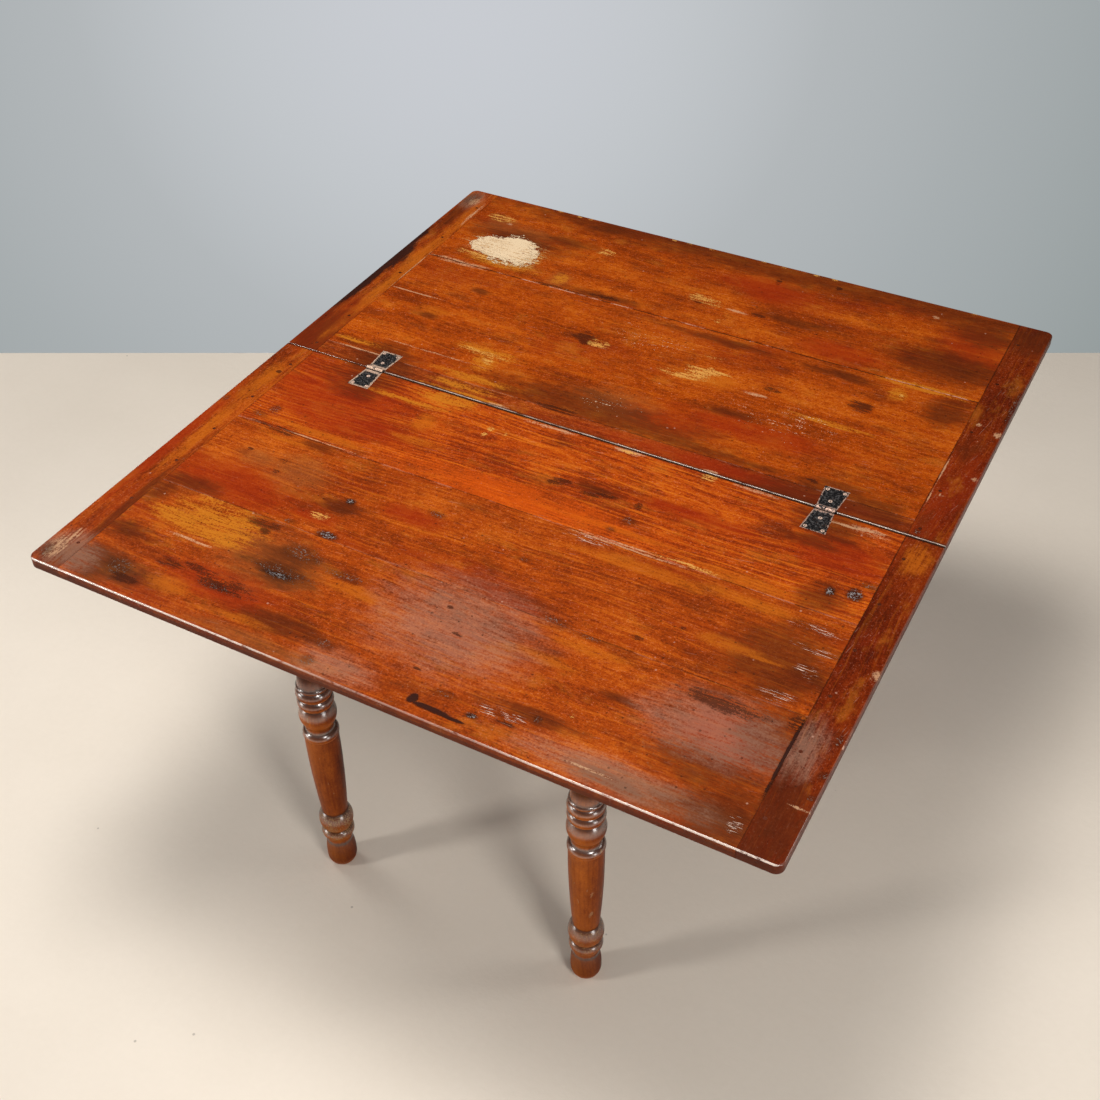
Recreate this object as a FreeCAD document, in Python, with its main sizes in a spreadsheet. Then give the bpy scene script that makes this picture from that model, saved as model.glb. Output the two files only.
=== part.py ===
import FreeCAD, Part
import math
import os

import Sketcher

# A table with a two-leaf top. The back leaf folds over the front leaf on two butterfly hinges, and the
# folded pair turns a quarter of a circle on a bolt in the frame. The model shows it open.
# Origin: on the floor, under the middle of the open top. +X runs along the seam between the leaves,
# +Y from the fixed leaf to the fold leaf, +Z up. All sizes are in millimetres.

SIZES = {
    # Whole table
    "table_height": 780,
    "leaf_length": 1290,
    "leaf_width": 700,
    "leaf_thickness": 20,
    "seam_gap": 2,
    "top_clearance": 0.2,
    # Edges of the leaves
    "corner_radius": 14,
    "top_round": 2.6,
    "under_round": 2,
    "seam_round": 1.2,
    # Boards, measured from the seam outwards
    "fixed_seam_board": 235,
    "fixed_middle_board": 207,
    "fold_strip": 42,
    "fold_middle_board": 368,
    "joint_gap": 0.3,
    # End cleats, and the tongues on the boards that they take
    "cleat_width": 64,
    "tongue_length": 28,
    "tongue_thickness": 7,
    "tongue_clearance": 0.2,
    "groove_stop": 12,
    # Nails
    "nail_radius": 1.5,
    "nail_head_radius": 3,
    "nail_head_height": 1.2,
    "nail_length": 15,
    "nail_clearance": 0.1,
    # Butterfly hinges
    "hinge_offset": 443,
    "hinge_reach": 60,
    "hinge_tail_width": 44,
    "hinge_neck_width": 35,
    "hinge_thickness": 2.5,
    "hinge_lift": 0.4,
    "hinge_let_in": 0.2,
    "barrel_radius": 4.5,
    "barrel_clearance": 0.6,
    "knuckle_gap": 0.6,
    "pin_radius": 2,
    "pin_clearance": 0.1,
    "pin_head_radius": 3,
    "pin_head_height": 1,
    "screw_inset": 7,
    "screw_neck_reach": 24,
    # Wood screws
    "screw_head_radius": 3.8,
    "screw_head_height": 2.2,
    "screw_radius": 1.9,
    "screw_length": 13,
    "screw_clearance": 0.1,
    "slot_width": 0.9,
    "slot_depth": 0.9,
    # Places of the legs, and their square blocks
    "leg_spread_x": 266,
    "leg_spread_y": 508,
    "leg_block": 70,
    "leg_block_length": 150,
    "leg_pommel": 14,
    # Turned part of a leg, from the floor upwards
    "foot_contact_radius": 14,
    "foot_low_height": 28,
    "foot_radius": 28,
    "foot_low_rise": 4.5,
    "foot_high_height": 42,
    "ankle_radius": 24,
    "foot_high_rise": 1.4,
    "ankle_height": 16,
    "ankle_rise": 1.6,
    "collar_root_radius": 26,
    "lower_ring_height": 22,
    "lower_ring_rise": 4.8,
    "quirk_height": 3,
    "collar_height": 45,
    "collar_rise": 7.2,
    "shaft_foot_radius": 24,
    "shaft_rise": 2.2,
    "shaft_top_radius": 31,
    "shoulder_height": 18,
    "shoulder_rise": 3.8,
    "neck_radius": 26.8,
    "neck_height": 14,
    "neck_rise": 1.2,
    "bead_height": 45,
    "bead_rise": 6.6,
    "ring_root_radius": 27.6,
    "ring_height": 22.5,
    "ring_rise": 5,
    "upper_ring_height": 9,
    "upper_ring_rise": 2.4,
    "cove_height": 49,
    "cove_rise": 2.4,
    "drum_height": 30,
    "drum_rise": 3.2,
    "top_ring_height": 16,
    "top_ring_rise": 3.5,
    # Aprons, and the pegged tenons that hold them in the legs
    "apron_depth": 130,
    "apron_thickness": 22,
    "apron_setback": 4,
    "tenon_length": 30,
    "tenon_thickness": 9,
    "tenon_shoulder": 12,
    "tenon_clearance": 0.1,
    "peg_radius": 4,
    "peg_length": 34,
    "peg_spacing": 60,
    "peg_clearance": 0.1,
    # Rail that carries the pivot, housed in the long aprons
    "rail_width": 120,
    "rail_thickness": 28,
    "rail_housing": 8,
    "rail_clearance": 0.1,
    # Pivot of the top
    "pivot_plate_radius": 45,
    "pivot_plate_thickness": 4,
    "pivot_plate_clearance": 0.2,
    "pivot_screw_circle": 33,
    "bolt_radius": 9,
    "bolt_head_radius": 16,
    "bolt_head_height": 5,
    "bolt_clearance": 0.15,
    "bolt_end": 4,
    "washer_radius": 21,
    "washer_thickness": 3,
    "washer_clearance": 0.2,
    "nut_width": 30,
    "nut_height": 14,
    # Floor of the well under the top, and the ledgers that it lies on
    "ledger_width": 20,
    "ledger_height": 18,
    "ledger_nail_spacing": 380,
    "floor_thickness": 10,
    "floor_gap": 0.5,
}

FLOOR_BOARDS = 5
PIVOT_SCREWS = 4
# How far a cutting shape runs past the face that it opens
PAST = "1"
# A block's corners lie at 0.71 of its width from its axis, and the cut on them starts outside that
CORNER_REACH = 0.75

doc = FreeCAD.newDocument("swivel_top_table")
sheet = doc.addObject("Spreadsheet::Sheet", "Sizes")
for row, (alias, number) in enumerate(SIZES.items(), start=1):
    sheet.set(f"A{row}", alias)
    sheet.set(f"B{row}", str(number))
    sheet.setAlias(f"B{row}", alias)
doc.recompute()

# Levels and places that several pieces share, as expressions on the sheet
TOP = "Sizes.table_height"
UNDER = "(Sizes.table_height - Sizes.leaf_thickness)"
FRAME_TOP = f"({UNDER} - Sizes.top_clearance)"
SEAM = "Sizes.seam_gap / 2"
HINGE_Z = "(Sizes.table_height + Sizes.hinge_lift)"
LEAF_END = "Sizes.leaf_length / 2"
BOARD_END = "(Sizes.leaf_length / 2 - Sizes.cleat_width)"
# A quarter turn about this point, on both axes, brings the folded top square over the frame
PIVOT = "(-Sizes.leaf_width / 4)"
BLOCK_LOW = f"({FRAME_TOP} - Sizes.leg_block_length)"
APRON_LOW = f"({FRAME_TOP} - Sizes.apron_depth)"
RAIL_LOW = f"({FRAME_TOP} - Sizes.rail_thickness)"
LEG_PLACE = {"x": "Sizes.leg_spread_x", "y": "Sizes.leg_spread_y"}
LEG_IN = {axis: f"({place} - Sizes.leg_block / 2)" for axis, place in LEG_PLACE.items()}
LEG_OUT = {axis: f"({place} + Sizes.leg_block / 2)" for axis, place in LEG_PLACE.items()}
APRON_OUT = {axis: f"({out} - Sizes.apron_setback)" for axis, out in LEG_OUT.items()}
APRON_IN = {axis: f"({out} - Sizes.apron_thickness)" for axis, out in APRON_OUT.items()}

pieces = []


# Spans: pairs of expressions, from a low to a high place on one axis

def value(expression):
    """The number that an expression on the sheet comes to."""
    return float(sheet.evalExpression(expression))


def mirrored(span, sign):
    """A span, or its mirror image on the negative side."""
    low, high = span
    if sign > 0:
        return span
    return f"-({high})", f"-({low})"


def grown(span, room):
    """A span made longer by some room at both ends."""
    low, high = span
    return f"({low}) - ({room})", f"({high}) + ({room})"


def about(middle, width):
    """The span of a width about a middle."""
    return f"({middle}) - ({width}) / 2", f"({middle}) + ({width}) / 2"


def run(start, length, sign):
    """The span that runs from a start for a length, up or down the axis."""
    if sign > 0:
        return start, f"({start}) + ({length})"
    return f"({start}) - ({length})", start


# Solids with sizes bound to the sheet

def bind(thing, bindings):
    """Bind properties of a document object to expressions."""
    for name, expression in bindings.items():
        thing.setExpression(name, expression)
    return thing


def box(name, x, y, z):
    """A block between three spans."""
    block = doc.addObject("Part::Box", name)
    sides = {"Length": x, "Width": y, "Height": z}
    bind(block, {side: f"({high}) - ({low})" for side, (low, high) in sides.items()})
    return bind(block, {f"Placement.Base.{axis}": span[0] for axis, span in zip("xyz", (x, y, z))})


ROD_TURN = {
    "x": FreeCAD.Rotation(FreeCAD.Vector(0, 1, 0), 90),
    "y": FreeCAD.Rotation(FreeCAD.Vector(1, 0, 0), -90),
    "z": FreeCAD.Rotation(),
}


def rod(name, axis, span, radius, centre):
    """A round bar along an axis. centre gives its places on the other two axes, in order."""
    bar = doc.addObject("Part::Cylinder", name)
    bar.Placement = FreeCAD.Placement(FreeCAD.Vector(), ROD_TURN[axis])
    low, high = span
    places = dict(zip([other for other in "xyz" if other != axis], centre))
    places[axis] = low
    bind(bar, {"Radius": radius, "Height": f"({high}) - ({low})"})
    return bind(bar, {f"Placement.Base.{name}": place for name, place in places.items()})


def fuse(name, solids):
    """Several solids made into one."""
    joined = doc.addObject("Part::MultiFuse", name)
    joined.Shapes = solids
    joined.Refine = True
    return joined


def group(name, solids):
    """Several solids kept apart, under one name."""
    together = doc.addObject("Part::Compound", name)
    together.Links = solids
    return together


def cut(name, base, tools):
    """A solid with other shapes taken out of it."""
    result = doc.addObject("Part::Cut", name)
    result.Base = base
    result.Tool = tools[0] if len(tools) == 1 else group(f"{name}_tools", tools)
    return result


def common(name, base, tool):
    """What two solids share."""
    result = doc.addObject("Part::Common", name)
    result.Base = base
    result.Tool = tool
    return result


def piece(thing):
    """Keep a document object as one of the table's pieces."""
    pieces.append(thing)
    return thing


# Sketches

def sketch_on(body, name, role):
    """A sketch on one of the body's own origin planes."""
    sketch = body.newObject("Sketcher::SketchObject", name)
    plane = next(part for part in body.Origin.OriginFeatures if part.Role == role)
    sketch.AttachmentSupport = [(plane, "")]
    sketch.MapMode = "FlatFace"
    return sketch


def dimension(sketch, kind, arguments, expression):
    """A dimension of a sketch, bound to an expression."""
    index = sketch.addConstraint(Sketcher.Constraint(kind, *arguments, value(expression)))
    sketch.setExpression(f"Constraints[{index}]", expression)


ORIGIN_POINT = (-1, 1)
LINE_START = 1
LINE_END = 2
CENTRE = 3


def pin_point(sketch, curve, end, x, y):
    """Hold one end of a curve at a place measured from the sketch's origin."""
    dimension(sketch, "DistanceX", (*ORIGIN_POINT, curve, end), x)
    dimension(sketch, "DistanceY", (*ORIGIN_POINT, curve, end), y)


def polygon(sketch, corners):
    """A closed outline of straight lines through corners given as pairs of expressions."""
    points = [FreeCAD.Vector(value(x), value(y), 0) for x, y in corners]
    count = len(points)
    for index in range(count):
        sketch.addGeometry(Part.LineSegment(points[index], points[(index + 1) % count]), False)
    for index in range(count):
        following = (index + 1) % count
        sketch.addConstraint(Sketcher.Constraint("Coincident", index, LINE_END, following, LINE_START))
    for index, (x, y) in enumerate(corners):
        pin_point(sketch, index, LINE_START, x, y)


def circle(sketch, radius):
    """A circle about the sketch's origin."""
    round_line = Part.Circle(FreeCAD.Vector(), FreeCAD.Vector(0, 0, 1), value(radius))
    curve = sketch.addGeometry(round_line, False)
    sketch.addConstraint(Sketcher.Constraint("Coincident", curve, CENTRE, *ORIGIN_POINT))
    dimension(sketch, "Radius", (curve,), radius)


def arc_between(first, last, rise):
    """An arc that leaves the chord by a rise: outwards if it is positive, inwards if negative.

    Returns the arc and which of its ends lie at the first and the last point."""
    chord = last - first
    radius = chord.Length ** 2 / (8 * abs(rise)) + abs(rise) / 2
    outwards = FreeCAD.Vector(chord.y, -chord.x, 0).normalize()
    to_centre = radius - abs(rise)
    centre = (first + last) / 2 - outwards * math.copysign(to_centre, rise)
    ends = (first, last) if rise > 0 else (last, first)
    angles = [math.atan2(point.y - centre.y, point.x - centre.x) for point in ends]
    if angles[1] < angles[0]:
        angles[1] += 2 * math.pi
    arc = Part.ArcOfCircle(Part.Circle(centre, FreeCAD.Vector(0, 0, 1), radius), *angles)
    if rise > 0:
        return arc, LINE_START, LINE_END
    return arc, LINE_END, LINE_START


def turned_outline(sketch, start_radius, steps):
    """Half the outline of a turned piece that stands on the sketch's origin.

    Each step goes up by a height to a radius, straight or along an arc with a rise."""
    radius = start_radius
    level = "0"
    foot = FreeCAD.Vector(value(radius), 0, 0)
    curve = sketch.addGeometry(Part.LineSegment(FreeCAD.Vector(), foot), False)
    sketch.addConstraint(Sketcher.Constraint("Coincident", curve, LINE_START, *ORIGIN_POINT))
    pin_point(sketch, curve, LINE_END, radius, level)
    joint = (curve, LINE_END)
    for height, next_radius, rise in steps:
        next_level = f"{level} + {height}"
        first = FreeCAD.Vector(value(radius), value(level), 0)
        last = FreeCAD.Vector(value(next_radius), value(next_level), 0)
        if rise is None:
            curve = sketch.addGeometry(Part.LineSegment(first, last), False)
            start, end = LINE_START, LINE_END
        else:
            arc, start, end = arc_between(first, last, value(rise))
            curve = sketch.addGeometry(arc, False)
            size = f"abs({rise})"
            chord_square = f"(({height})^2 + ({next_radius} - {radius})^2)"
            dimension(sketch, "Radius", (curve,), f"{chord_square} / (8 * {size}) + {size} / 2")
        sketch.addConstraint(Sketcher.Constraint("Coincident", *joint, curve, start))
        pin_point(sketch, curve, end, next_radius, next_level)
        joint = (curve, end)
        radius = next_radius
        level = next_level
    top = FreeCAD.Vector(0, value(level), 0)
    lid = sketch.addGeometry(Part.LineSegment(last, top), False)
    axis = sketch.addGeometry(Part.LineSegment(top, FreeCAD.Vector()), False)
    sketch.addConstraint(Sketcher.Constraint("Coincident", *joint, lid, LINE_START))
    sketch.addConstraint(Sketcher.Constraint("Coincident", lid, LINE_END, axis, LINE_START))
    sketch.addConstraint(Sketcher.Constraint("Coincident", axis, LINE_END, *ORIGIN_POINT))
    pin_point(sketch, lid, LINE_END, "0", level)


def pad(body, name, sketch, length):
    """A pad of a sketch, bound to a length."""
    feature = body.newObject("PartDesign::Pad", name)
    feature.Profile = sketch
    return bind(feature, {"Length": length})


def round_edges(body, name, base, radius, wanted):
    """A fillet on the edges of a feature whose boxes pass a test."""
    doc.recompute()
    numbered = enumerate(base.Shape.Edges, start=1)
    edges = [f"Edge{number}" for number, edge in numbered if wanted(edge.BoundBox)]
    if not edges:
        raise ValueError(f"{name} found no edge to round")
    feature = body.newObject("PartDesign::Fillet", name)
    feature.Base = (base, edges)
    return bind(feature, {"Radius": radius})


# Fasteners, and the holes that take them, which are the same shapes with some room

def nail(name, axis, face, sign, centre, room="0"):
    """A flat-headed nail driven from a face along an axis, or the hole for one."""
    head = rod(
        f"{name}_head", axis, run(face, f"Sizes.nail_head_height + {room}", sign),
        f"Sizes.nail_head_radius + {room}", centre)
    shank = rod(
        f"{name}_shank", axis, run(face, f"Sizes.nail_length + {room}", sign),
        f"Sizes.nail_radius + {room}", centre)
    return fuse(name, [head, shank])


def screw(name, x, y, face, sign, room="0"):
    """A countersunk wood screw driven from a face up or down, or the hole for one."""
    low, high = run(face, "Sizes.screw_head_height", sign)
    head = doc.addObject("Part::Cone", f"{name}_head")
    wide, narrow = f"Sizes.screw_head_radius + {room}", f"Sizes.screw_radius + {room}"
    bind(head, {
        "Radius1": wide if sign > 0 else narrow,
        "Radius2": narrow if sign > 0 else wide,
        "Height": f"({high}) - ({low})",
        "Placement.Base.x": x,
        "Placement.Base.y": y,
        "Placement.Base.z": low,
    })
    shank = rod(
        f"{name}_shank", "z", run(face, f"Sizes.screw_length + {room}", sign), narrow, (x, y))
    return fuse(name, [head, shank])


def slotted_screw(name, x, y, face, sign, slot_along_x):
    """A wood screw with a slot in its head."""
    long_side = f"2 * (Sizes.screw_head_radius + {PAST})"
    sides = (long_side, "Sizes.slot_width") if slot_along_x else ("Sizes.slot_width", long_side)
    slot = box(
        f"{name}_slot", about(x, sides[0]), about(y, sides[1]),
        run(face, "Sizes.slot_depth", sign))
    return cut(name, screw(f"{name}_blank", x, y, face, sign), [slot])


# Hinges: each has one plate on each leaf, with one knuckle each, and a pin with peened ends

HINGES = {"left": "-Sizes.hinge_offset", "right": "Sizes.hinge_offset"}
LEAF_SIGN = {"fixed": -1, "fold": 1}
# From here outwards a plate is clear of the other plate's knuckle, and widens towards its tail
HINGE_CLEAR = "Sizes.barrel_radius + Sizes.knuckle_gap"


def hinge_screw_places(leaf, side):
    """The places of one plate's three screws: two at the tail, one near the knuckle."""
    middle = HINGES[side]
    sign = LEAF_SIGN[leaf]
    spread = "(Sizes.hinge_tail_width / 2 - Sizes.screw_inset)"
    tail = f"{sign} * (Sizes.hinge_reach - Sizes.screw_inset)"
    return [
        (f"{middle} - {spread}", tail),
        (f"{middle} + {spread}", tail),
        (middle, f"{sign} * Sizes.screw_neck_reach"),
    ]


def hinge_plate(leaf, side):
    """A butterfly plate let in flush with the top, with its knuckle on the hinge's axis."""
    name = f"hinge_{leaf}_plate_{side}"
    body = doc.addObject("PartDesign::Body", f"{name}_blank")
    tail = "Sizes.hinge_tail_width / 2"
    neck = "Sizes.hinge_neck_width / 2"
    half_gap = "Sizes.knuckle_gap / 2"
    outline = sketch_on(body, f"{name}_outline", "XY_Plane")
    polygon(outline, [
        (f"-{neck}", "0"),
        (f"-{half_gap}", "0"),
        (f"-{half_gap}", HINGE_CLEAR),
        (neck, HINGE_CLEAR),
        (tail, "Sizes.hinge_reach"),
        (f"-{tail}", "Sizes.hinge_reach"),
        (f"-{neck}", HINGE_CLEAR),
    ])
    bind(outline, {"AttachmentOffset.Base.z": "-Sizes.hinge_lift - Sizes.hinge_thickness"})
    pad(body, f"{name}_flat", outline, "Sizes.hinge_thickness")
    ring = sketch_on(body, f"{name}_ring", "YZ_Plane")
    circle(ring, "Sizes.barrel_radius")
    bind(ring, {"AttachmentOffset.Base.z": f"-{neck}"})
    pad(body, f"{name}_knuckle", ring, f"{neck} - {half_gap}")
    if leaf == "fixed":
        half_turn = FreeCAD.Rotation(FreeCAD.Vector(0, 0, 1), 180)
        body.Placement = FreeCAD.Placement(FreeCAD.Vector(), half_turn)
    bind(body, {"Placement.Base.x": HINGES[side], "Placement.Base.z": HINGE_Z})
    bore = rod(
        f"{name}_bore", "x", about(HINGES[side], "2 * Sizes.hinge_neck_width"),
        "Sizes.pin_radius + Sizes.pin_clearance", ("0", HINGE_Z))
    holes = [
        screw(f"{name}_hole_{index}", x, y, TOP, -1, "Sizes.screw_clearance")
        for index, (x, y) in enumerate(hinge_screw_places(leaf, side))
    ]
    return piece(cut(name, body, [bore, *holes]))


def hinge_pin(side):
    """A hinge pin, peened over at both ends."""
    name = f"hinge_pin_{side}"
    middle = HINGES[side]
    shank = about(middle, "Sizes.hinge_neck_width")
    centre = ("0", HINGE_Z)
    heads = [
        rod(f"{name}_head_{sign}", "x", run(end, "Sizes.pin_head_height", sign),
            "Sizes.pin_head_radius", centre)
        for end, sign in zip(shank, (-1, 1))
    ]
    return piece(fuse(name, [rod(f"{name}_shank", "x", shank, "Sizes.pin_radius", centre), *heads]))


def hinge_screws(leaf):
    """All the screws that hold one leaf's hinge plates."""
    places = [place for side in HINGES for place in hinge_screw_places(leaf, side)]
    return piece(group(f"hinge_{leaf}_screws", [
        slotted_screw(f"hinge_{leaf}_screw_{index}", x, y, TOP, -1, index % 2 == 0)
        for index, (x, y) in enumerate(places)
    ]))


def hinge_seats(leaf):
    """What is cut out of a leaf for its hinges: plate seats, room for the barrels, screw holes."""
    sign = LEAF_SIGN[leaf]
    room = "Sizes.hinge_let_in"
    tools = []
    for side, middle in HINGES.items():
        name = f"{leaf}_seat_{side}"
        seat = doc.addObject("PartDesign::Body", name)
        outline = sketch_on(seat, f"{name}_outline", "XY_Plane")
        tail = f"(Sizes.hinge_tail_width / 2 + {room})"
        neck = f"(Sizes.hinge_neck_width / 2 + {room})"
        flare = f"{sign} * ({HINGE_CLEAR})"
        end = f"{sign} * (Sizes.hinge_reach + {room})"
        polygon(outline, [
            (f"-{neck}", "0"), (neck, "0"), (neck, flare),
            (tail, end), (f"-{tail}", end), (f"-{neck}", flare)])
        pad(seat, f"{name}_pad", outline, f"Sizes.hinge_thickness + {PAST}")
        bind(seat, {"Placement.Base.x": middle, "Placement.Base.z": f"{TOP} - Sizes.hinge_thickness"})
        clear = "Sizes.barrel_radius + Sizes.barrel_clearance"
        half = "Sizes.hinge_neck_width / 2 + Sizes.pin_head_height + Sizes.knuckle_gap"
        notch = box(
            f"{leaf}_notch_{side}", about(middle, f"2 * ({half})"), mirrored(("0", clear), sign),
            (f"{HINGE_Z} - ({clear})", f"{TOP} + {PAST}"))
        holes = [
            screw(f"{name}_hole_{index}", x, y, TOP, -1, "Sizes.screw_clearance")
            for index, (x, y) in enumerate(hinge_screw_places(leaf, side))
        ]
        tools += [seat, notch, *holes]
    return tools


# Pivot: a bolt held in a plate under the fixed leaf turns in the frame's rail

def pivot_screw_places():
    """The places of the pivot plate's screws, evenly round their circle."""
    turn = 360 / PIVOT_SCREWS
    angles = [turn * (index + 0.5) for index in range(PIVOT_SCREWS)]
    return [
        (f"{PIVOT} + Sizes.pivot_screw_circle * cos({angle} deg)",
         f"{PIVOT} + Sizes.pivot_screw_circle * sin({angle} deg)")
        for angle in angles
    ]


PIVOT_CENTRE = (PIVOT, PIVOT)
PLATE_TOP = f"({UNDER} + Sizes.pivot_plate_thickness)"
BOLT_HOLE = "Sizes.bolt_radius + Sizes.bolt_clearance"
WASHER_TOP = f"({RAIL_LOW} - Sizes.washer_clearance)"
NUT_TOP = f"({WASHER_TOP} - Sizes.washer_thickness)"
NUT_LOW = f"({NUT_TOP} - Sizes.nut_height)"


def pivot_screw_holes(name):
    """Holes for the pivot plate's screws."""
    return [
        screw(f"{name}_{index}", x, y, UNDER, 1, "Sizes.screw_clearance")
        for index, (x, y) in enumerate(pivot_screw_places())
    ]


def pivot_seat():
    """What is cut out of the fixed leaf's underside for the pivot."""
    below = f"{UNDER} - {PAST}"
    room = "Sizes.pivot_plate_clearance"
    plate = rod(
        "pivot_seat_plate", "z", (below, PLATE_TOP), f"Sizes.pivot_plate_radius + {room}", PIVOT_CENTRE)
    head = rod(
        "pivot_seat_head", "z", (below, f"{PLATE_TOP} + Sizes.bolt_head_height + {room}"),
        f"Sizes.bolt_head_radius + {room}", PIVOT_CENTRE)
    return [plate, head, *pivot_screw_holes("pivot_seat_hole")]


def pivot_pieces():
    """Plate, bolt, washer and nut of the pivot, and the plate's screws."""
    disc = rod("pivot_disc", "z", (UNDER, PLATE_TOP), "Sizes.pivot_plate_radius", PIVOT_CENTRE)
    hole = rod("pivot_disc_hole", "z", grown((UNDER, PLATE_TOP), PAST), BOLT_HOLE, PIVOT_CENTRE)
    piece(cut("pivot_plate", disc, [hole, *pivot_screw_holes("pivot_plate_hole")]))
    head = rod(
        "pivot_bolt_head", "z", run(PLATE_TOP, "Sizes.bolt_head_height", 1),
        "Sizes.bolt_head_radius", PIVOT_CENTRE)
    shank = rod(
        "pivot_bolt_shank", "z", (f"{NUT_LOW} - Sizes.bolt_end", PLATE_TOP),
        "Sizes.bolt_radius", PIVOT_CENTRE)
    piece(fuse("pivot_bolt", [head, shank]))
    ring = rod("pivot_washer_disc", "z", (NUT_TOP, WASHER_TOP), "Sizes.washer_radius", PIVOT_CENTRE)
    block = box(
        "pivot_nut_block", about(PIVOT, "Sizes.nut_width"), about(PIVOT, "Sizes.nut_width"),
        (NUT_LOW, NUT_TOP))
    through = rod("pivot_nut_hole", "z", grown((NUT_LOW, WASHER_TOP), PAST), BOLT_HOLE, PIVOT_CENTRE)
    piece(cut("pivot_washer", ring, [through]))
    piece(cut("pivot_nut", block, [through]))
    piece(group("pivot_plate_screws", [
        slotted_screw(f"pivot_plate_screw_{index}", x, y, UNDER, 1, index % 2 == 0)
        for index, (x, y) in enumerate(pivot_screw_places())
    ]))


# Leaves: three boards each, with tongues held in the grooves of two end cleats

BOARDS = {
    "fixed": {
        "seam": ("0", "Sizes.fixed_seam_board"),
        "middle": ("Sizes.fixed_seam_board", "Sizes.fixed_seam_board + Sizes.fixed_middle_board"),
        "outer": ("Sizes.fixed_seam_board + Sizes.fixed_middle_board", "Sizes.leaf_width"),
    },
    "fold": {
        "strip": ("0", "Sizes.fold_strip"),
        "middle": ("Sizes.fold_strip", "Sizes.fold_strip + Sizes.fold_middle_board"),
        "outer": ("Sizes.fold_strip + Sizes.fold_middle_board", "Sizes.leaf_width"),
    },
}
# Nails along each board's end, as parts of its width. The narrow strip has room for one.
NAIL_PARTS = {"strip": (0.6,), "seam": (0.25, 0.75), "middle": (0.25, 0.75), "outer": (0.25, 0.75)}
ENDS = {"left": -1, "right": 1}


def leaf_blank(leaf):
    """A whole leaf, with its corners and edges rounded, before it is divided."""
    sign = LEAF_SIGN[leaf]
    body = doc.addObject("PartDesign::Body", f"{leaf}_blank")
    outline = sketch_on(body, f"{leaf}_outline", "XY_Plane")
    near, far = f"{sign} * {SEAM}", f"{sign} * Sizes.leaf_width"
    polygon(outline, [(f"-{LEAF_END}", near), (LEAF_END, near), (LEAF_END, far), (f"-{LEAF_END}", far)])
    slab = pad(body, f"{leaf}_slab", outline, "Sizes.leaf_thickness")
    bind(body, {"Placement.Base.z": UNDER})
    thickness = value("Sizes.leaf_thickness")
    seam = value(near)
    small = 0.01

    def at_seam(bounds):
        return abs(bounds.YMin - seam) < small and abs(bounds.YMax - seam) < small

    def upright(bounds):
        return bounds.ZLength > thickness - small and not at_seam(bounds)

    def top_edge(bounds):
        return bounds.ZMin > thickness - small and not at_seam(bounds)

    def low_edge(bounds):
        return bounds.ZMax < small and not at_seam(bounds)

    corners = round_edges(body, f"{leaf}_corners", slab, "Sizes.corner_radius", upright)
    top = round_edges(body, f"{leaf}_top_edge", corners, "Sizes.top_round", top_edge)
    under = round_edges(body, f"{leaf}_under_edge", top, "Sizes.under_round", low_edge)
    round_edges(body, f"{leaf}_seam_edge", under, "Sizes.seam_round", at_seam)
    return body


def board_span(leaf, board):
    """Where a board lies across its leaf, with half a joint's gap taken off where it meets another."""
    inner, outer = BOARDS[leaf][board]
    half_gap = "Sizes.joint_gap / 2"
    low = inner if inner == "0" else f"{inner} + {half_gap}"
    high = f"{outer} + {PAST}" if outer == "Sizes.leaf_width" else f"{outer} - {half_gap}"
    return low, high


def tongue_span(leaf, board):
    """Where a board's tongues lie across its leaf: they stop short of the leaf's two edges."""
    low, high = board_span(leaf, board)
    inner, outer = BOARDS[leaf][board]
    if inner == "0":
        low = f"{SEAM} + Sizes.groove_stop"
    if outer == "Sizes.leaf_width":
        high = "Sizes.leaf_width - Sizes.groove_stop"
    return low, high


def tongue_level(room="0"):
    """The level of the tongues, in the middle of the leaf's thickness."""
    return about(f"{UNDER} + Sizes.leaf_thickness / 2", f"Sizes.tongue_thickness + 2 * {room}")


def cleat_nail_places(leaf, board):
    """The places of the nails through one end of a board's tongue, for the right-hand end."""
    inner, outer = BOARDS[leaf][board]
    return [
        (f"{BOARD_END} + Sizes.tongue_length / 2",
         f"{LEAF_SIGN[leaf]} * ({inner} + {part} * ({outer} - ({inner})))")
        for part in NAIL_PARTS[board]
    ]


def cleat_nails(name, leaf, board, room="0"):
    """The nails through both ends of a board, or their holes, by end."""
    return {
        end: [
            nail(f"{name}_{end}_{index}", "z", TOP, -1, (f"{sign} * ({x})", y), room)
            for index, (x, y) in enumerate(cleat_nail_places(leaf, board))
        ]
        for end, sign in ENDS.items()
    }


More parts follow.
